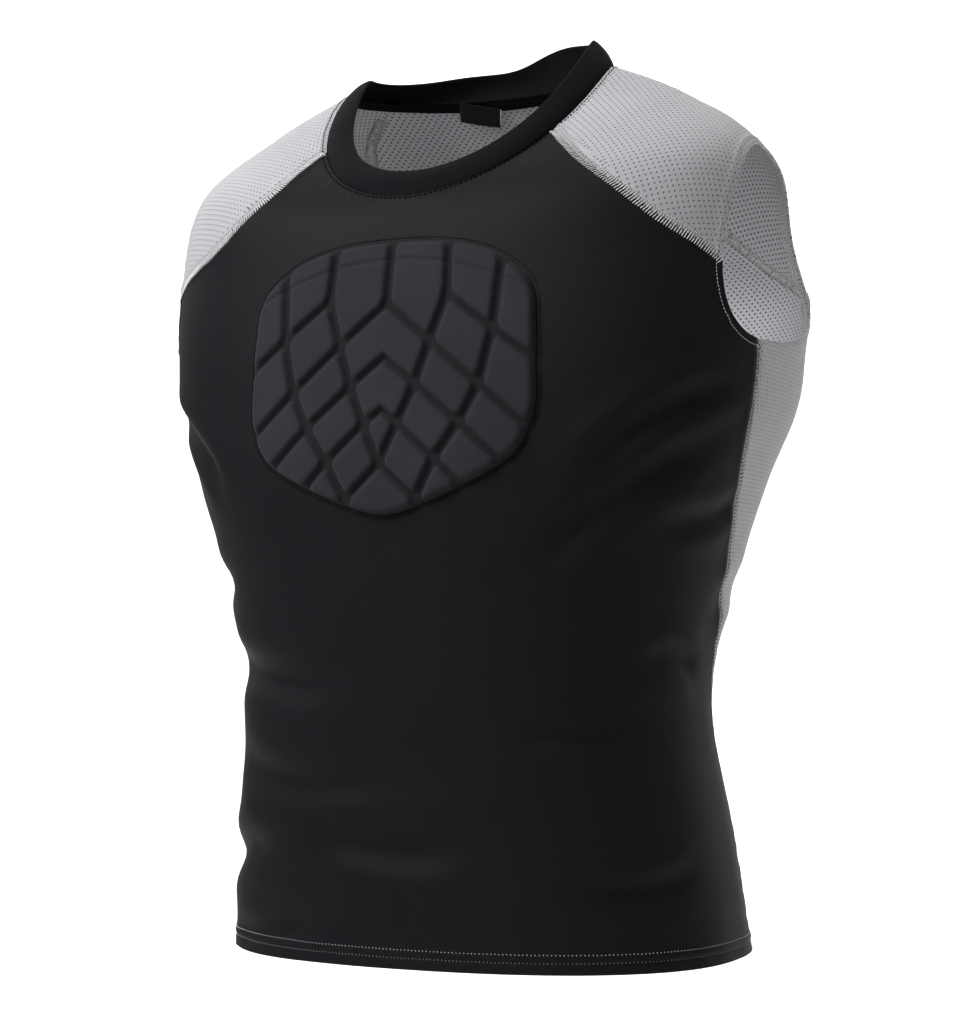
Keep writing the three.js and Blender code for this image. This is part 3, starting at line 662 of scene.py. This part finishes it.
def hemRelief(fromHem):
    hem, (low, high) = panels["hem"], panels["hemStitches"]
    return (hem["raise"] * (1 - softStep(fromHem, hem["height"] - 0.0005, hem["height"] + 0.0015))
            - hem["lowDip"] * bell(fromHem - low, hem["dipReach"])
            - hem["highDip"] * bell(fromHem - high, hem["dipReach"])
            + hem["swell"] * bell(fromHem - (low + high) / 2, hem["swellReach"]))


# Height that the hem, the armhole's turned band and the seams add to a panel
def panelRelief(points, kind, seed):
    run, near = fromSides(points)
    fromHem = lengthAlong(points, 0)
    fromNeck = fromHem[-1:] - fromHem
    isArm = (kind == 1)[:, None]
    pucker = panels["pucker"]
    relief = np.where(isArm, bandRelief(near), seamRelief(near)) + hemRelief(fromHem)
    relief -= panels["neck"]["dip"] * bell(fromNeck, panels["neck"]["reach"])
    relief += puckers(run, pucker * bell(fromHem - panels["hemStitches"][1], 0.010), seed)
    relief += puckers(fromHem, 1.2 * pucker * bell(near - 0.006, 0.007), seed + 1)
    relief += puckers(run, 0.8 * pucker * bell(fromNeck - 0.007, 0.007), seed + 2)
    return np.maximum(relief, -panels["seam"]["dip"])


pad = {
    "middle": -0.222,
    # from the middle to the outline at every 15 degrees, from just past the bottom to just past the top
    "reach": np.array([87.3, 89, 87.3, 88, 93.5, 102.5, 103.7, 101, 103.7, 110.5, 105.4, 97, 90.5, 88,
                       90.5]) / 1000,
    "seat": 0.00045,
    "base": 0.0022,
    "height": 0.0053,
    "groove": 0.0046,
    "armGroove": 0.0036,
    "rim": 0.0014,
    "bevel": 0.0021,
    "corner": 0.0042,
    "edge": 0.0004,
    "skirt": 0.0026,
    "rayShare": 0.93,  # the shortest way to the outline against the way along the ray from the middle
    "crown": 0.0005,
    "arch": (-0.1475, 2.6),  # faint line near the top: its height in the middle and its bend
    "rows": (206, 177),  # columns and rows of the mesh
    "half": (0.101, 0.088),
    "stitchOut": 0.0028,
    # how the panel's cloth rises towards the pad, dips at the stitches and at its edge, and lies under it
    "welt": {"raise": 0.0005, "reach": 0.005, "rowDip": 0.0003, "edgeDip": 0.0008, "edgeAt": 0.0006,
             "dipReach": 0.0011, "under": 0.0004},
    # where each arm of the lattice crosses the centre line, the inner and outer uprights and the pad's edge
    "arms": {
        "top": ((0, -0.128), (0.040, -0.128), (0.078, -0.140), (0.122, -0.140)),
        "shoulder": ((0, -0.150), (0.042, -0.172), (0.074, -0.196), (0.122, -0.232)),
        "first": ((0, -0.176), (0.032, -0.202), (0.066, -0.231), (0.122, -0.281)),
        "second": ((0, -0.211), (0.023, -0.229), (0.054, -0.255), (0.100, -0.297)),
        "third": ((0, -0.245), (0.012, -0.254), (0.038, -0.277), (0.075, -0.311)),
        "last": ((0, -0.279), (0, -0.279), (0.025, -0.301), (0.036, -0.320)),
    },
}


def padReach(turn):
    rise = np.degrees(np.arcsin(np.clip(np.sin(turn), -1, 1)))
    return smoothList(pad["reach"], (rise + 105) / 15)


# Distance outside the pad's outline, negative inside it
def padDistance(x, z):
    turn = np.arctan2(z - pad["middle"], x)
    return (np.hypot(x, z - pad["middle"]) - padReach(turn)) * pad["rayShare"]


def weltRelief(away):
    welt = pad["welt"]
    return (welt["raise"] * bell(np.clip(away, 0, None), welt["reach"])
            - welt["rowDip"] * bell(away - pad["stitchOut"], welt["dipReach"])
            - welt["edgeDip"] * bell(away - welt["edgeAt"], welt["dipReach"]) - welt["under"] * (away < 0))


# Angle and level of the place on the front that lies at x and z, closer with every pass
def frontPlace(across, height):
    angle, at = np.zeros(np.shape(across)), np.full(np.shape(across), float(level["chest"]))
    for _ in range(7):
        here = clothPoint(angle, at)
        around, along = clothSlopes(angle, at)
        missX, missZ = across - here[..., 0], height - here[..., 2]
        scale = around[..., 0] * along[..., 2] - along[..., 0] * around[..., 2]
        angle = angle + (missX * along[..., 2] - along[..., 0] * missZ) / scale
        at = at + (around[..., 0] * missZ - missX * around[..., 2]) / scale
    return angle, at


def sewPanel(name, side, look, wall, seed):
    angle, at, kind = panelPlaces(side)
    points, normals = clothPoint(angle, at), clothNormal(angle, at)
    relief = panelRelief(points, kind, seed)
    if side == "front":
        away = padDistance(points[..., 0], points[..., 2])
        relief += np.where(points[..., 1] < 0, weltRelief(away), 0)
    outer = drawnIn(points + normals * relief[..., None])
    free = np.zeros(angle.shape)
    free[0] = 1
    free[kind == 1] = 1
    thick = wall + panels["hem"]["thicker"] * (at < panels["hem"]["thickTo"])
    uvs = grainUVs(points, np.array([0, 0, 1.0]), angle.shape[1] // 2)
    return clothShell(name, outer, normals, thick, free, look, uvs)


# Keeps half the seam gap at every edge.
def drawnIn(outer):
    points = outer.copy()
    for edge, nextRow in ((0, 1), (-1, -2)):
        points[edge] += unit(points[nextRow] - points[edge]) * cloth["seamGap"] / 2
        points[:, edge] += unit(points[:, nextRow] - points[:, edge]) * cloth["seamGap"] / 2
    return points


# A patch between the armhole, both raglan seams and the neck: angles, then levels
def shoulderPlaces(hand):
    up, over = edgedSpots(*panels["shoulderUp"])[:, None], edgedSpots(*panels["shoulderOver"])[None, :]
    front, back = armhole["corner"]["front"], armhole["corner"]["back"]
    turn = front + (180 - front - back) * over
    lows = zip(armholeEdge("front", turn), armholeEdge("back", 180 - turn))
    highs = (mix(raglan["neckCorner"]["front"], raglan["neckCorner"]["back"], over),
             np.full(over.shape, float(level["neck"])))
    result = []
    for key, ((lowFront, lowBack), high) in enumerate(zip(lows, highs)):
        low = np.where(turn <= 90, lowFront, lowBack)
        seams, starts, ends = [mix(*(raglanSeam(side, hand, spot)[key] for side in ("front", "back")), over)
                               for spot in (up, 0, 1)]
        result.append(mix(low, high, up) + seams - mix(starts, ends, up))
    angle, at = result
    return (angle, at) if hand == "left" else (-angle[:, ::-1], at[:, ::-1])


def sewShoulder(name, hand, seed):
    angle, at = shoulderPlaces(hand)
    points, normals = clothPoint(angle, at), clothNormal(angle, at)
    run, near = fromSides(points)
    fromArm = lengthAlong(points, 0)
    fromNeck = fromArm[-1:] - fromArm
    pucker, neck = panels["pucker"], panels["neck"]
    relief = bandRelief(fromArm) + seamRelief(near) - neck["dip"] * bell(fromNeck, neck["reach"])
    relief += puckers(fromArm, 1.1 * pucker * bell(near - 0.006, 0.007), seed)
    relief += puckers(run, 1.2 * pucker * bell(fromArm - 0.006, 0.006), seed + 1)
    relief += puckers(run, 0.9 * pucker * bell(fromNeck - 0.006, 0.007), seed + 2)
    outer = drawnIn(points + normals * np.maximum(relief, -panels["seam"]["dip"])[..., None])
    free = np.zeros(angle.shape)
    free[0] = 1
    uvs = laidFlat(points)
    print(f"{name}: lies flat on {np.ptp(uvs[..., 0]):.3f} by {np.ptp(uvs[..., 1]):.3f}")
    wall = np.full(angle.shape, cloth["meshWall"])
    return clothShell(name, outer, normals, wall, free, "mesh", uvs)


collar = {
    "wall": 0.0024,
    "width": {"front": 0.022, "side": 0.020, "back": 0.017},
    "lean": {"front": 54.0, "left": 54.0, "back": 72.0, "right": 25.0},
    # it stands up higher behind the wearer's left shoulder: angle, reach, added width and lean
    "rise": (126.0, 27.0, 0.0085, 14.0),
    "aimAhead": 0.020,
    "bulge": 0.0015,
    "crown": 0.001,
    "tuck": 0.0022,  # how far the band's inner edge goes down behind the seam
    "seamDip": (0.0005, 0.0018),  # depth and reach
    "pucker": 0.0002,
    "join": 141.0,  # where the band's ends meet
    "pinch": (0.0005, 0.5),  # depth, and reach in degrees
    "around": 320,
    "steps": 12,
}


# For each angle: the seam, the way from it to the band's top edge, the way out of the cloth, and the width
def collarSections(angle):
    seam = clothPoint(angle, level["neck"])
    toFront, toSide = np.cos(np.radians(angle)), np.sin(np.radians(angle))
    share = toFront ** 2
    end = np.where(toFront > 0, collar["width"]["front"], collar["width"]["back"])
    riseAngle, riseWide, riseWidth, riseLean = collar["rise"]
    rise = bell(angle - riseAngle, riseWide)
    width = mix(collar["width"]["side"], end, share) + riseWidth * rise
    endLean = np.where(toFront > 0, collar["lean"]["front"], collar["lean"]["back"])
    sideLean = np.where(toSide > 0, collar["lean"]["left"], collar["lean"]["right"])
    lean = np.radians(mix(sideLean, endLean, share) + riseLean * rise)
    aim = np.where(seam[:, 1] > 0, 0, collar["aimAhead"])
    towards = unit(np.stack([-seam[:, 0], -seam[:, 1] - aim, 0 * aim], axis=-1))
    up = np.array([0, 0, 1.0])
    climb = (towards * (width * np.cos(lean))[:, None]) + up * (width * np.sin(lean))[:, None]
    outward = unit(up * (width * np.cos(lean))[:, None] - towards * (width * np.sin(lean))[:, None])
    return seam, climb, outward, width


def sewCollar():
    join = collar["join"]
    angle = np.linspace(0, 360, collar["around"], endpoint=False)
    angle = np.sort(np.append(angle, join + np.linspace(-2, 2, 11)))
    seam, climb, outward, width = collarSections(angle)
    part = np.linspace(0, 1, collar["steps"] + 1)[None, :]
    part = mix((cloth["seamGap"] / width)[:, None], 1, part)
    (dip, dipReach), (pinch, pinchReach) = collar["seamDip"], collar["pinch"]
    bulge = collar["bulge"] * np.sin(np.pi * part) - dip * bell(part * width[:, None], dipReach)
    run = np.cumsum(np.linalg.norm(np.diff(seam, axis=0, prepend=seam[-1:]), axis=-1))[:, None]
    bulge = bulge + puckers(run, collar["pucker"] * bell(part - 0.2, 0.3), 5)
    pinch = pinch * bell(angle - join, pinchReach)[:, None]
    bulge = bulge - pinch
    outer = seam[:, None] + climb[:, None] * part[..., None] + outward[:, None] * bulge[..., None]
    inner = outer - outward[:, None] * (collar["wall"] - 2 * pinch)[..., None]
    turn = np.radians(np.array([30, 60, 90, 120, 150]))[None, :, None]
    middle = (outer[:, -1] + inner[:, -1])[:, None] / 2
    crown = (middle + outward[:, None] * np.cos(turn) * collar["wall"] / 2
             + unit(climb)[:, None] * np.sin(turn) * collar["crown"])
    tuck = inner[:, :1] - unit(climb)[:, None] * collar["tuck"] + outward[:, None] * 0.0006
    ring = np.concatenate([outer, crown, inner[:, ::-1], tuck], axis=1)
    index = np.arange(ring[..., 0].size).reshape(ring.shape[:2])
    nextRow = np.roll(index, -1, axis=0)
    faces = np.stack([index, nextRow, np.roll(nextRow, -1, axis=1), np.roll(index, -1, axis=1)], axis=-1)
    across = lengthAlong(ring, 1)
    uvs = np.stack([np.broadcast_to(run, across.shape), across], axis=-1).reshape(-1, 2)
    return makePiece("collarBand", ring.reshape(-1, 3), faces.reshape(-1, 4).tolist(), "trim", uvs)


tape = {"width": 0.008, "wall": 0.001, "clear": 0.0008, "start": 93.6, "over": 0.0022,
        # place and depth of its stitch rows
        "rows": ((0.0065, 0.0004), (0.001, 0.0003)), "rowReach": 0.0007}


def tapePoint(angle, depth, drop):
    top = clothPlace(angle, np.full(angle.shape, float(level["neck"])), np.full(angle.shape, -depth))
    lower = clothPlace(angle, np.full(angle.shape, level["neck"] - 0.2), np.full(angle.shape, -depth))
    return top + unit(lower - top) * drop


def sewTape():
    angle = np.linspace(tape["start"], 360 - tape["start"], 150)
    depth = cloth["meshWall"] + tape["clear"]
    drops = np.linspace(-tape["over"], tape["width"], 10)[::-1]
    outer = np.stack([tapePoint(angle, depth, drop) for drop in drops])
    inner = np.stack([tapePoint(angle, depth + tape["wall"], drop) for drop in drops])
    normals = unit(outer - inner)
    dips = sum(deep * bell(drops - spot, tape["rowReach"]) for spot, deep in tape["rows"])
    inner += normals * dips[:, None, None]
    run = lengthAlong(outer, 1)
    uvs = np.stack([run, np.broadcast_to(drops[:, None], run.shape)], axis=-1)
    wall = np.linalg.norm(outer - inner, axis=-1)
    return clothShell("neckTape", outer, normals, wall, np.full(run.shape, 0.3), "trim", uvs)


label = {"width": 0.030, "height": 0.018, "wall": 0.0009, "across": -0.020, "drop": 0.001, "turn": -3.0,
         "clear": 0.001, "curve": 0.0006,
         # down one face and back up the other: share of the height, place in the thickness
         "profile": ((0, 1), (0.25, 1.05), (0.5, 1.1), (0.75, 1.0), (0.93, 0.8), (1.0, 0.35), (1.0, -0.35),
                     (0.93, -0.8), (0.75, -1), (0.5, -1), (0.25, -1), (0, -1))}


# A strip folded double, bare on its face, with its fold at the bottom
def sewLabel():
    depth = cloth["meshWall"] + tape["clear"] + tape["wall"] + label["clear"] + label["wall"] / 2
    radius = clothPoint(180, level["neck"])[1]
    angle = np.array([180 - math.degrees(math.atan2(label["across"], radius))])
    top, lower = tapePoint(angle, depth, 0)[0], tapePoint(angle, depth, label["height"])[0]
    down = unit(lower - top)
    half = math.degrees(label["width"] / 2 / radius)
    across = clothPoint(angle - half, level["neck"])[0] - clothPoint(angle + half, level["neck"])[0]
    outward = unit(np.cross(across, down))
    side = np.cross(down, outward)
    tilt = math.radians(label["turn"])
    side, down = side * math.cos(tilt) - down * math.sin(tilt), down * math.cos(tilt) + side * math.sin(tilt)
    spots = np.linspace(-0.5, 0.5, 25)
    ring = np.array([top + down * (label["drop"] + share * label["height"])
                     + side * (spots * label["width"])[:, None]
                     + outward * (out * label["wall"] / 2 + label["curve"] * (2 * spots) ** 2 * share)[:, None]
                     for share, out in label["profile"]])
    count, cols = ring.shape[:2]
    last = (count - 1) * cols
    ends = [tuple(k * cols + end for k in range(count)) for end in (0, cols - 1)]
    faces = gridFaces(count, cols, flip=True) + [(last + j, last + j + 1, j + 1, j) for j in range(cols - 1)]
    faces += [ends[0][::-1], ends[1]]
    uvs = np.stack([np.tile(spots * label["width"], count),
                    np.repeat(np.linspace(0, 2 * label["height"], count), cols)], axis=-1)
    piece = makePiece("neckLabel", ring.reshape(-1, 3), faces, "label", uvs)
    # the light loop lies along the edge of the face that shows
    return piece, ring[7:, -1] + side * 0.0004 - outward * 0.0002, outward


def lineDistance(x, z, line):
    best = np.full(np.shape(x), 1.0)
    for (x0, z0), (x1, z1) in zip(line, line[1:]):
        dx, dz = x1 - x0, z1 - z0
        size = dx * dx + dz * dz
        if size < 1e-10:
            continue
        share = np.clip(((x - x0) * dx + (z - z0) * dz) / size, 0, 1)
        best = np.minimum(best, np.hypot(x - x0 - share * dx, z - z0 - share * dz))
    return best


# How far a place lies from the edges of the nearest arm and the nearest upright groove
def grooveInsets(x, z):
    arms, spot = pad["arms"], np.abs(x)
    lines = [arms[name] for name in ("first", "second", "third", "last")] + [arms["shoulder"][1:]]
    toArm = np.min([lineDistance(spot, z, line) for line in lines], axis=0) - pad["armGroove"] / 2
    uprights = [[arm[column] for arm in arms.values()] for column in (1, 2)] + [[arms["top"][0], arms["first"][0]]]
    toUpright = np.min([lineDistance(spot, z, line) for line in uprights], axis=0) - pad["groove"] / 2
    return toArm, toUpright


def padHeight(x, z):
    inside = -padDistance(x, z)
    corner = pad["corner"]
    gaps = [*grooveInsets(x, z), inside - pad["rim"]]
    # rounding where two edges of a cell meet
    near = corner - np.sqrt(sum(np.clip(corner - gap, 0, None) ** 2 for gap in gaps))
    raised = softStep(near, -pad["bevel"] * 0.7, pad["bevel"])
    skirt = np.sqrt(np.clip(1 - (1 - np.clip(inside / pad["skirt"], 0, 1)) ** 2, 0, 1))
    height = mix(pad["edge"], pad["base"], skirt) + (pad["height"] - pad["base"]) * raised
    height = height + pad["crown"] * softStep(near, 0, corner) * raised
    top, bend = pad["arch"]
    fromArch = (z - top + bend * x ** 2) / np.hypot(1, 2 * bend * x)
    height -= raised * (0.0008 * bell(fromArch, 0.0013) - 0.0003 * bell(fromArch - 0.003, 0.0018))
    return height, raised


# Raised cells with rounded corners, parted by grooves, on a grid that is drawn out to the outline
def sewPad():
    cols, rows = pad["rows"]
    a, b = np.meshgrid(np.linspace(-1, 1, cols), np.linspace(-1, 1, rows))
    turn = np.arctan2(b * pad["half"][1], a * pad["half"][0])
    reach = np.maximum(np.abs(a), np.abs(b)) * padReach(turn)
    x, z = reach * np.cos(turn), pad["middle"] + reach * np.sin(turn)
    angle, at = frontPlace(x, z)
    height, raised = padHeight(x, z)
    normals = clothNormal(angle, at)
    outer = clothPoint(angle, at) + normals * (pad["seat"] + height)[..., None]
    wall, uvs = np.maximum(height, pad["edge"]), np.stack([x, z], axis=-1)
    piece = clothShell("chestPad", outer, normals, wall, np.zeros(a.shape), "pad", uvs)
    # raised is 1 on the cells and 0 in the grooves, at the rim and on the inner faces; the pad material paints
    # shade where it is low
    paintPoints(piece, "raised", np.append(raised, np.zeros(len(piece.data.vertices) - a.size)))
    return piece


threads = {
    # look, pitch, share of the pitch that a stitch takes, radius
    "rows": {
        "raglan": ("white", 0.0016, 0.68, 0.0004),
        "armhole": ("white", 0.0022, 0.68, 0.00027),
        "side": ("black", 0.0026, 0.45, 0.0004),
        "hemLow": ("grey", 0.0026, 0.24, 0.00034),
        "hemHigh": ("white", 0.0026, 0.24, 0.00034),
        "neck": ("black", 0.0034, 0.6, 0.00048),
        "neckWhite": ("white", 0.0018, 0.85, 0.00027),
        "pad": ("black", 0.0024, 0.55, 0.00032),
    },
    # look, pitch, radius, how far across the seam its two sides lie
    "zigzags": {
        "seam": ("white", 0.0019, 0.00042, (-0.0042, 0.0042)),
        "seamCross": ("white", 0.0027, 0.00042, (0.0036, -0.0036)),
        "hem": ("grey", 0.003, 0.00027, panels["hemStitches"]),
    },
    "ladder": {"pitch": 0.0019, "half": 0.0036, "slant": 0.0006, "shift": 0.0012, "radius": 0.00042},
    "loops": {"pitch": 0.0054, "half": 0.0034, "sway": 0.22, "radius": 0.00055},
    "sunk": 0.55,  # share of its radius that a thread's middle stands above the cloth
    "search": (0.007, 0.011),  # how far off the cloth is looked for
}


# The cloth that threads are laid down on
def plantTree(pieces):
    points, faces, start = [], [], 0
    for piece in pieces:
        mesh = piece.data
        points += [vertex.co.copy() for vertex in mesh.vertices]
        faces += [[start + index for index in polygon.vertices] for polygon in mesh.polygons]
        start = len(points)
    return BVHTree.FromPolygons(points, faces)


def seamLine(angle, at):
    points, normals = clothPoint(angle, at), clothNormal(angle, at)
    along = unit(np.gradient(points, axis=0))
    across = unit(np.cross(normals, along))
    return {"run": lengthAlong(points, 0), "points": points, "normals": normals, "across": across}


def readLine(line, key, run):
    return np.stack([np.interp(run, line["run"], line[key][:, k]) for k in range(3)], axis=-1)


# Lays threads given as places along and across a seam, down on the cloth's outside or its inside.
def layThreads(name, line, along, across, look, radius, inside=False):
    points = readLine(line, "points", along) + readLine(line, "across", along) * across[..., None]
    normals = unit(readLine(line, "normals", along)) * (-1 if inside else 1)
    away, reach = threads["search"]
    for index in np.ndindex(points.shape[:-1]):
        normal = Vector(normals[index])
        hit = clothTree.ray_cast(Vector(points[index]) + normal * away, -normal, reach)[0]
        if hit:
            points[index] = hit + normal * radius * threads["sunk"]
    return tubes(name, points, normals, radius, look)


def tubes(name, points, normals, radius, look, sides=5):
    count, steps = points.shape[:2]
    along = unit(np.gradient(points, axis=1))
    across = unit(np.cross(along, normals))
    up = np.cross(across, along)
    turn = np.arange(sides) * 2 * math.pi / sides
    size = np.full(steps, radius)
    size[[0, -1]] *= 0.45
    ring = (points[:, :, None] + size[None, :, None, None]
            * (up[:, :, None] * np.cos(turn)[:, None] + across[:, :, None] * np.sin(turn)[:, None]))
    index = np.arange(count * steps * sides).reshape(count, steps, sides)
    nextSide = np.roll(index, -1, axis=2)
    quads = np.stack([index[:, :-1], nextSide[:, :-1], nextSide[:, 1:], index[:, 1:]], axis=-1).reshape(-1, 4)
    faces = quads.tolist() + index[:, 0, ::-1].tolist() + index[:, -1].tolist()
    return makePiece(name, ring.reshape(-1, 3), faces, look)


def runStitches(name, line, across, kind):
    look, pitch, share, radius = threads["rows"][kind]
    firsts = np.arange(0, line["run"][-1] - pitch * share, pitch)
    firsts = firsts + rng.uniform(-0.0001, 0.0001, len(firsts))
    along = firsts[:, None] + np.linspace(0, pitch * share, 4)[None, :]
    drift = across + rng.uniform(-0.00012, 0.00012, len(firsts))[:, None]
    return layThreads(name, line, along, np.broadcast_to(drift, along.shape), look, radius)


def ladderStitches(name, line, shift):
    size = threads["ladder"]
    firsts = np.arange(0, line["run"][-1] - size["pitch"], size["pitch"])
    firsts = firsts + rng.uniform(-0.00012, 0.00012, len(firsts))
    spots = np.linspace(-1, 1, 7)[None, :]
    reach = (size["half"] + rng.uniform(-0.0002, 0.0002, len(firsts)))[:, None]
    return layThreads(name, line, firsts[:, None] + size["slant"] * spots, shift + reach * spots, "white",
                      size["radius"])


# One thread from side to side, on the inside
def zigzagStitches(name, line, kind, end=None):
    look, pitch, radius, (low, high) = threads["zigzags"][kind]
    knots = np.arange(0, end or line["run"][-1], pitch / 2)
    knots = knots + rng.uniform(-0.00015, 0.00015, len(knots))
    across = np.where(np.arange(len(knots)) % 2 == 0, low, high) + rng.uniform(-0.0002, 0.0002, len(knots))
    fine = np.linspace(0, len(knots) - 1, 4 * (len(knots) - 1) + 1)
    along, across = (np.interp(fine, np.arange(len(knots)), values) for values in (knots, across))
    return layThreads(name, line, along[None], across[None], look, radius, inside=True)


# Two strands that cross over and over, as an overlock leaves on the inside
def loopStitches(name, line, middle):
    size = threads["loops"]
    along = np.arange(0, line["run"][-1], size["pitch"] / 10)
    turn = along * 2 * math.pi / size["pitch"]
    forth = along + size["sway"] * size["pitch"] * np.sin(2 * turn)
    for strand, start in enumerate((0, math.pi)):
        across = middle + size["half"] * np.sin(turn + start)
        layThreads(f"{name}{strand + 1}", line, forth[None], across[None], "white", size["radius"], inside=True)


print("stage: cloth surface")
placeCamera()
hangLamps()
layPaper()
materials = mixLooks()
print("stage: camera, lamps, paper and materials")

front = sewPanel("frontPanel", "front", "jersey", cloth["jerseyWall"], 21)
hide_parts("front_panel")
back = sewPanel("backPanel", "back", "mesh", cloth["meshWall"], 31)
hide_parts("back_panel")
shoulders = {hand: sewShoulder(f"shoulder{hand.title()}", hand, seed)
             for hand, seed in (("left", 41), ("right", 51))}
for hand, piece in shoulders.items():
    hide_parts(f"shoulder_{hand}")
print("stage: panels and shoulders")
band = sewCollar()
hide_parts("collar_band")
neckTape = sewTape()
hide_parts("back_neck_tape")
neckLabel, labelLoop, labelFace = sewLabel()
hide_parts("neck_label")
tubes("labelLoop", labelLoop[None], np.broadcast_to(labelFace, (1, *labelLoop.shape)), 0.00055, "white")
print("stage: neck")

chestPad = sewPad()
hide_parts("chest_pad")
print("stage: pad")

clothTree = plantTree([front, back, *shoulders.values()])
for hand, sign in {"left": 1, "right": -1}.items():
    for side in ("front", "back"):
        angle, at = raglanSeam(side, hand, np.linspace(0.004, 0.992 if side == "front" else 0.965, 320))
        seam = seamLine(angle * sign, at)
        name = f"{side}Raglan{hand.title()}"
        # which way across the seam the body panel lies
        towards = 1 if (side == "front") == (hand == "left") else -1
        shift = threads["ladder"]["shift"] * towards
        ladderStitches(name + "Ladder", seam, shift)
        runStitches(name + "Row", seam, shift - 0.004 * towards, "raglan")
        if side == "back":
            for extra, kind in (("", "seam"), ("Cross", "seamCross")):
                zigzagStitches(f"{name}Looper{extra}", seam, kind, end=seam["run"][-1] - 0.014)
    turns = np.linspace(-90, 90, 260)
    angle, at = np.concatenate([armholeEdge("front", turns), armholeEdge("back", turns[::-1][1:])], axis=1)
    rim = seamLine(angle * sign, at)
    runStitches(f"armhole{hand.title()}Row", rim, sign * 0.0047, "armhole")
    loopStitches(f"armhole{hand.title()}Loops", rim, sign * 0.0046)
    rise = np.linspace(0.35, level["underarm"] - 0.05, 300)
    sideLine = seamLine(smoothList(sideSeam, rise) * sign, rise)
    runStitches(f"sideRow{hand.title()}", sideLine, -sign * 0.0012, "side")
print("stage: raglan and armhole threads")

hem = seamLine(np.linspace(-180, 180, 1200), np.full(1200, 0.0001))
for row, across in zip(("Low", "High"), panels["hemStitches"]):
    runStitches(f"hemRow{row}", hem, across, f"hem{row}")
zigzagStitches("hemLooper", hem, "hem")
neckLine = seamLine(np.linspace(0, 360, 900), np.full(900, level["neck"] - 0.0001))
runStitches("neckRow", neckLine, -0.0028, "neck")
for hand, (first, last) in {"left": (54, 110), "right": (250, 306)}.items():
    shoulderNeck = seamLine(np.linspace(first, last, 120), np.full(120, level["neck"] - 0.0001))
    runStitches(f"neckWhite{hand.title()}", shoulderNeck, -0.0044, "neckWhite")
turn = np.linspace(0, 2 * math.pi, 500)
reach = padReach(turn) + pad["stitchOut"]
padLine = seamLine(*frontPlace(reach * np.cos(turn), pad["middle"] + reach * np.sin(turn)))
runStitches("padRow", padLine, 0.0, "pad")
print("stage: hem and neck threads")
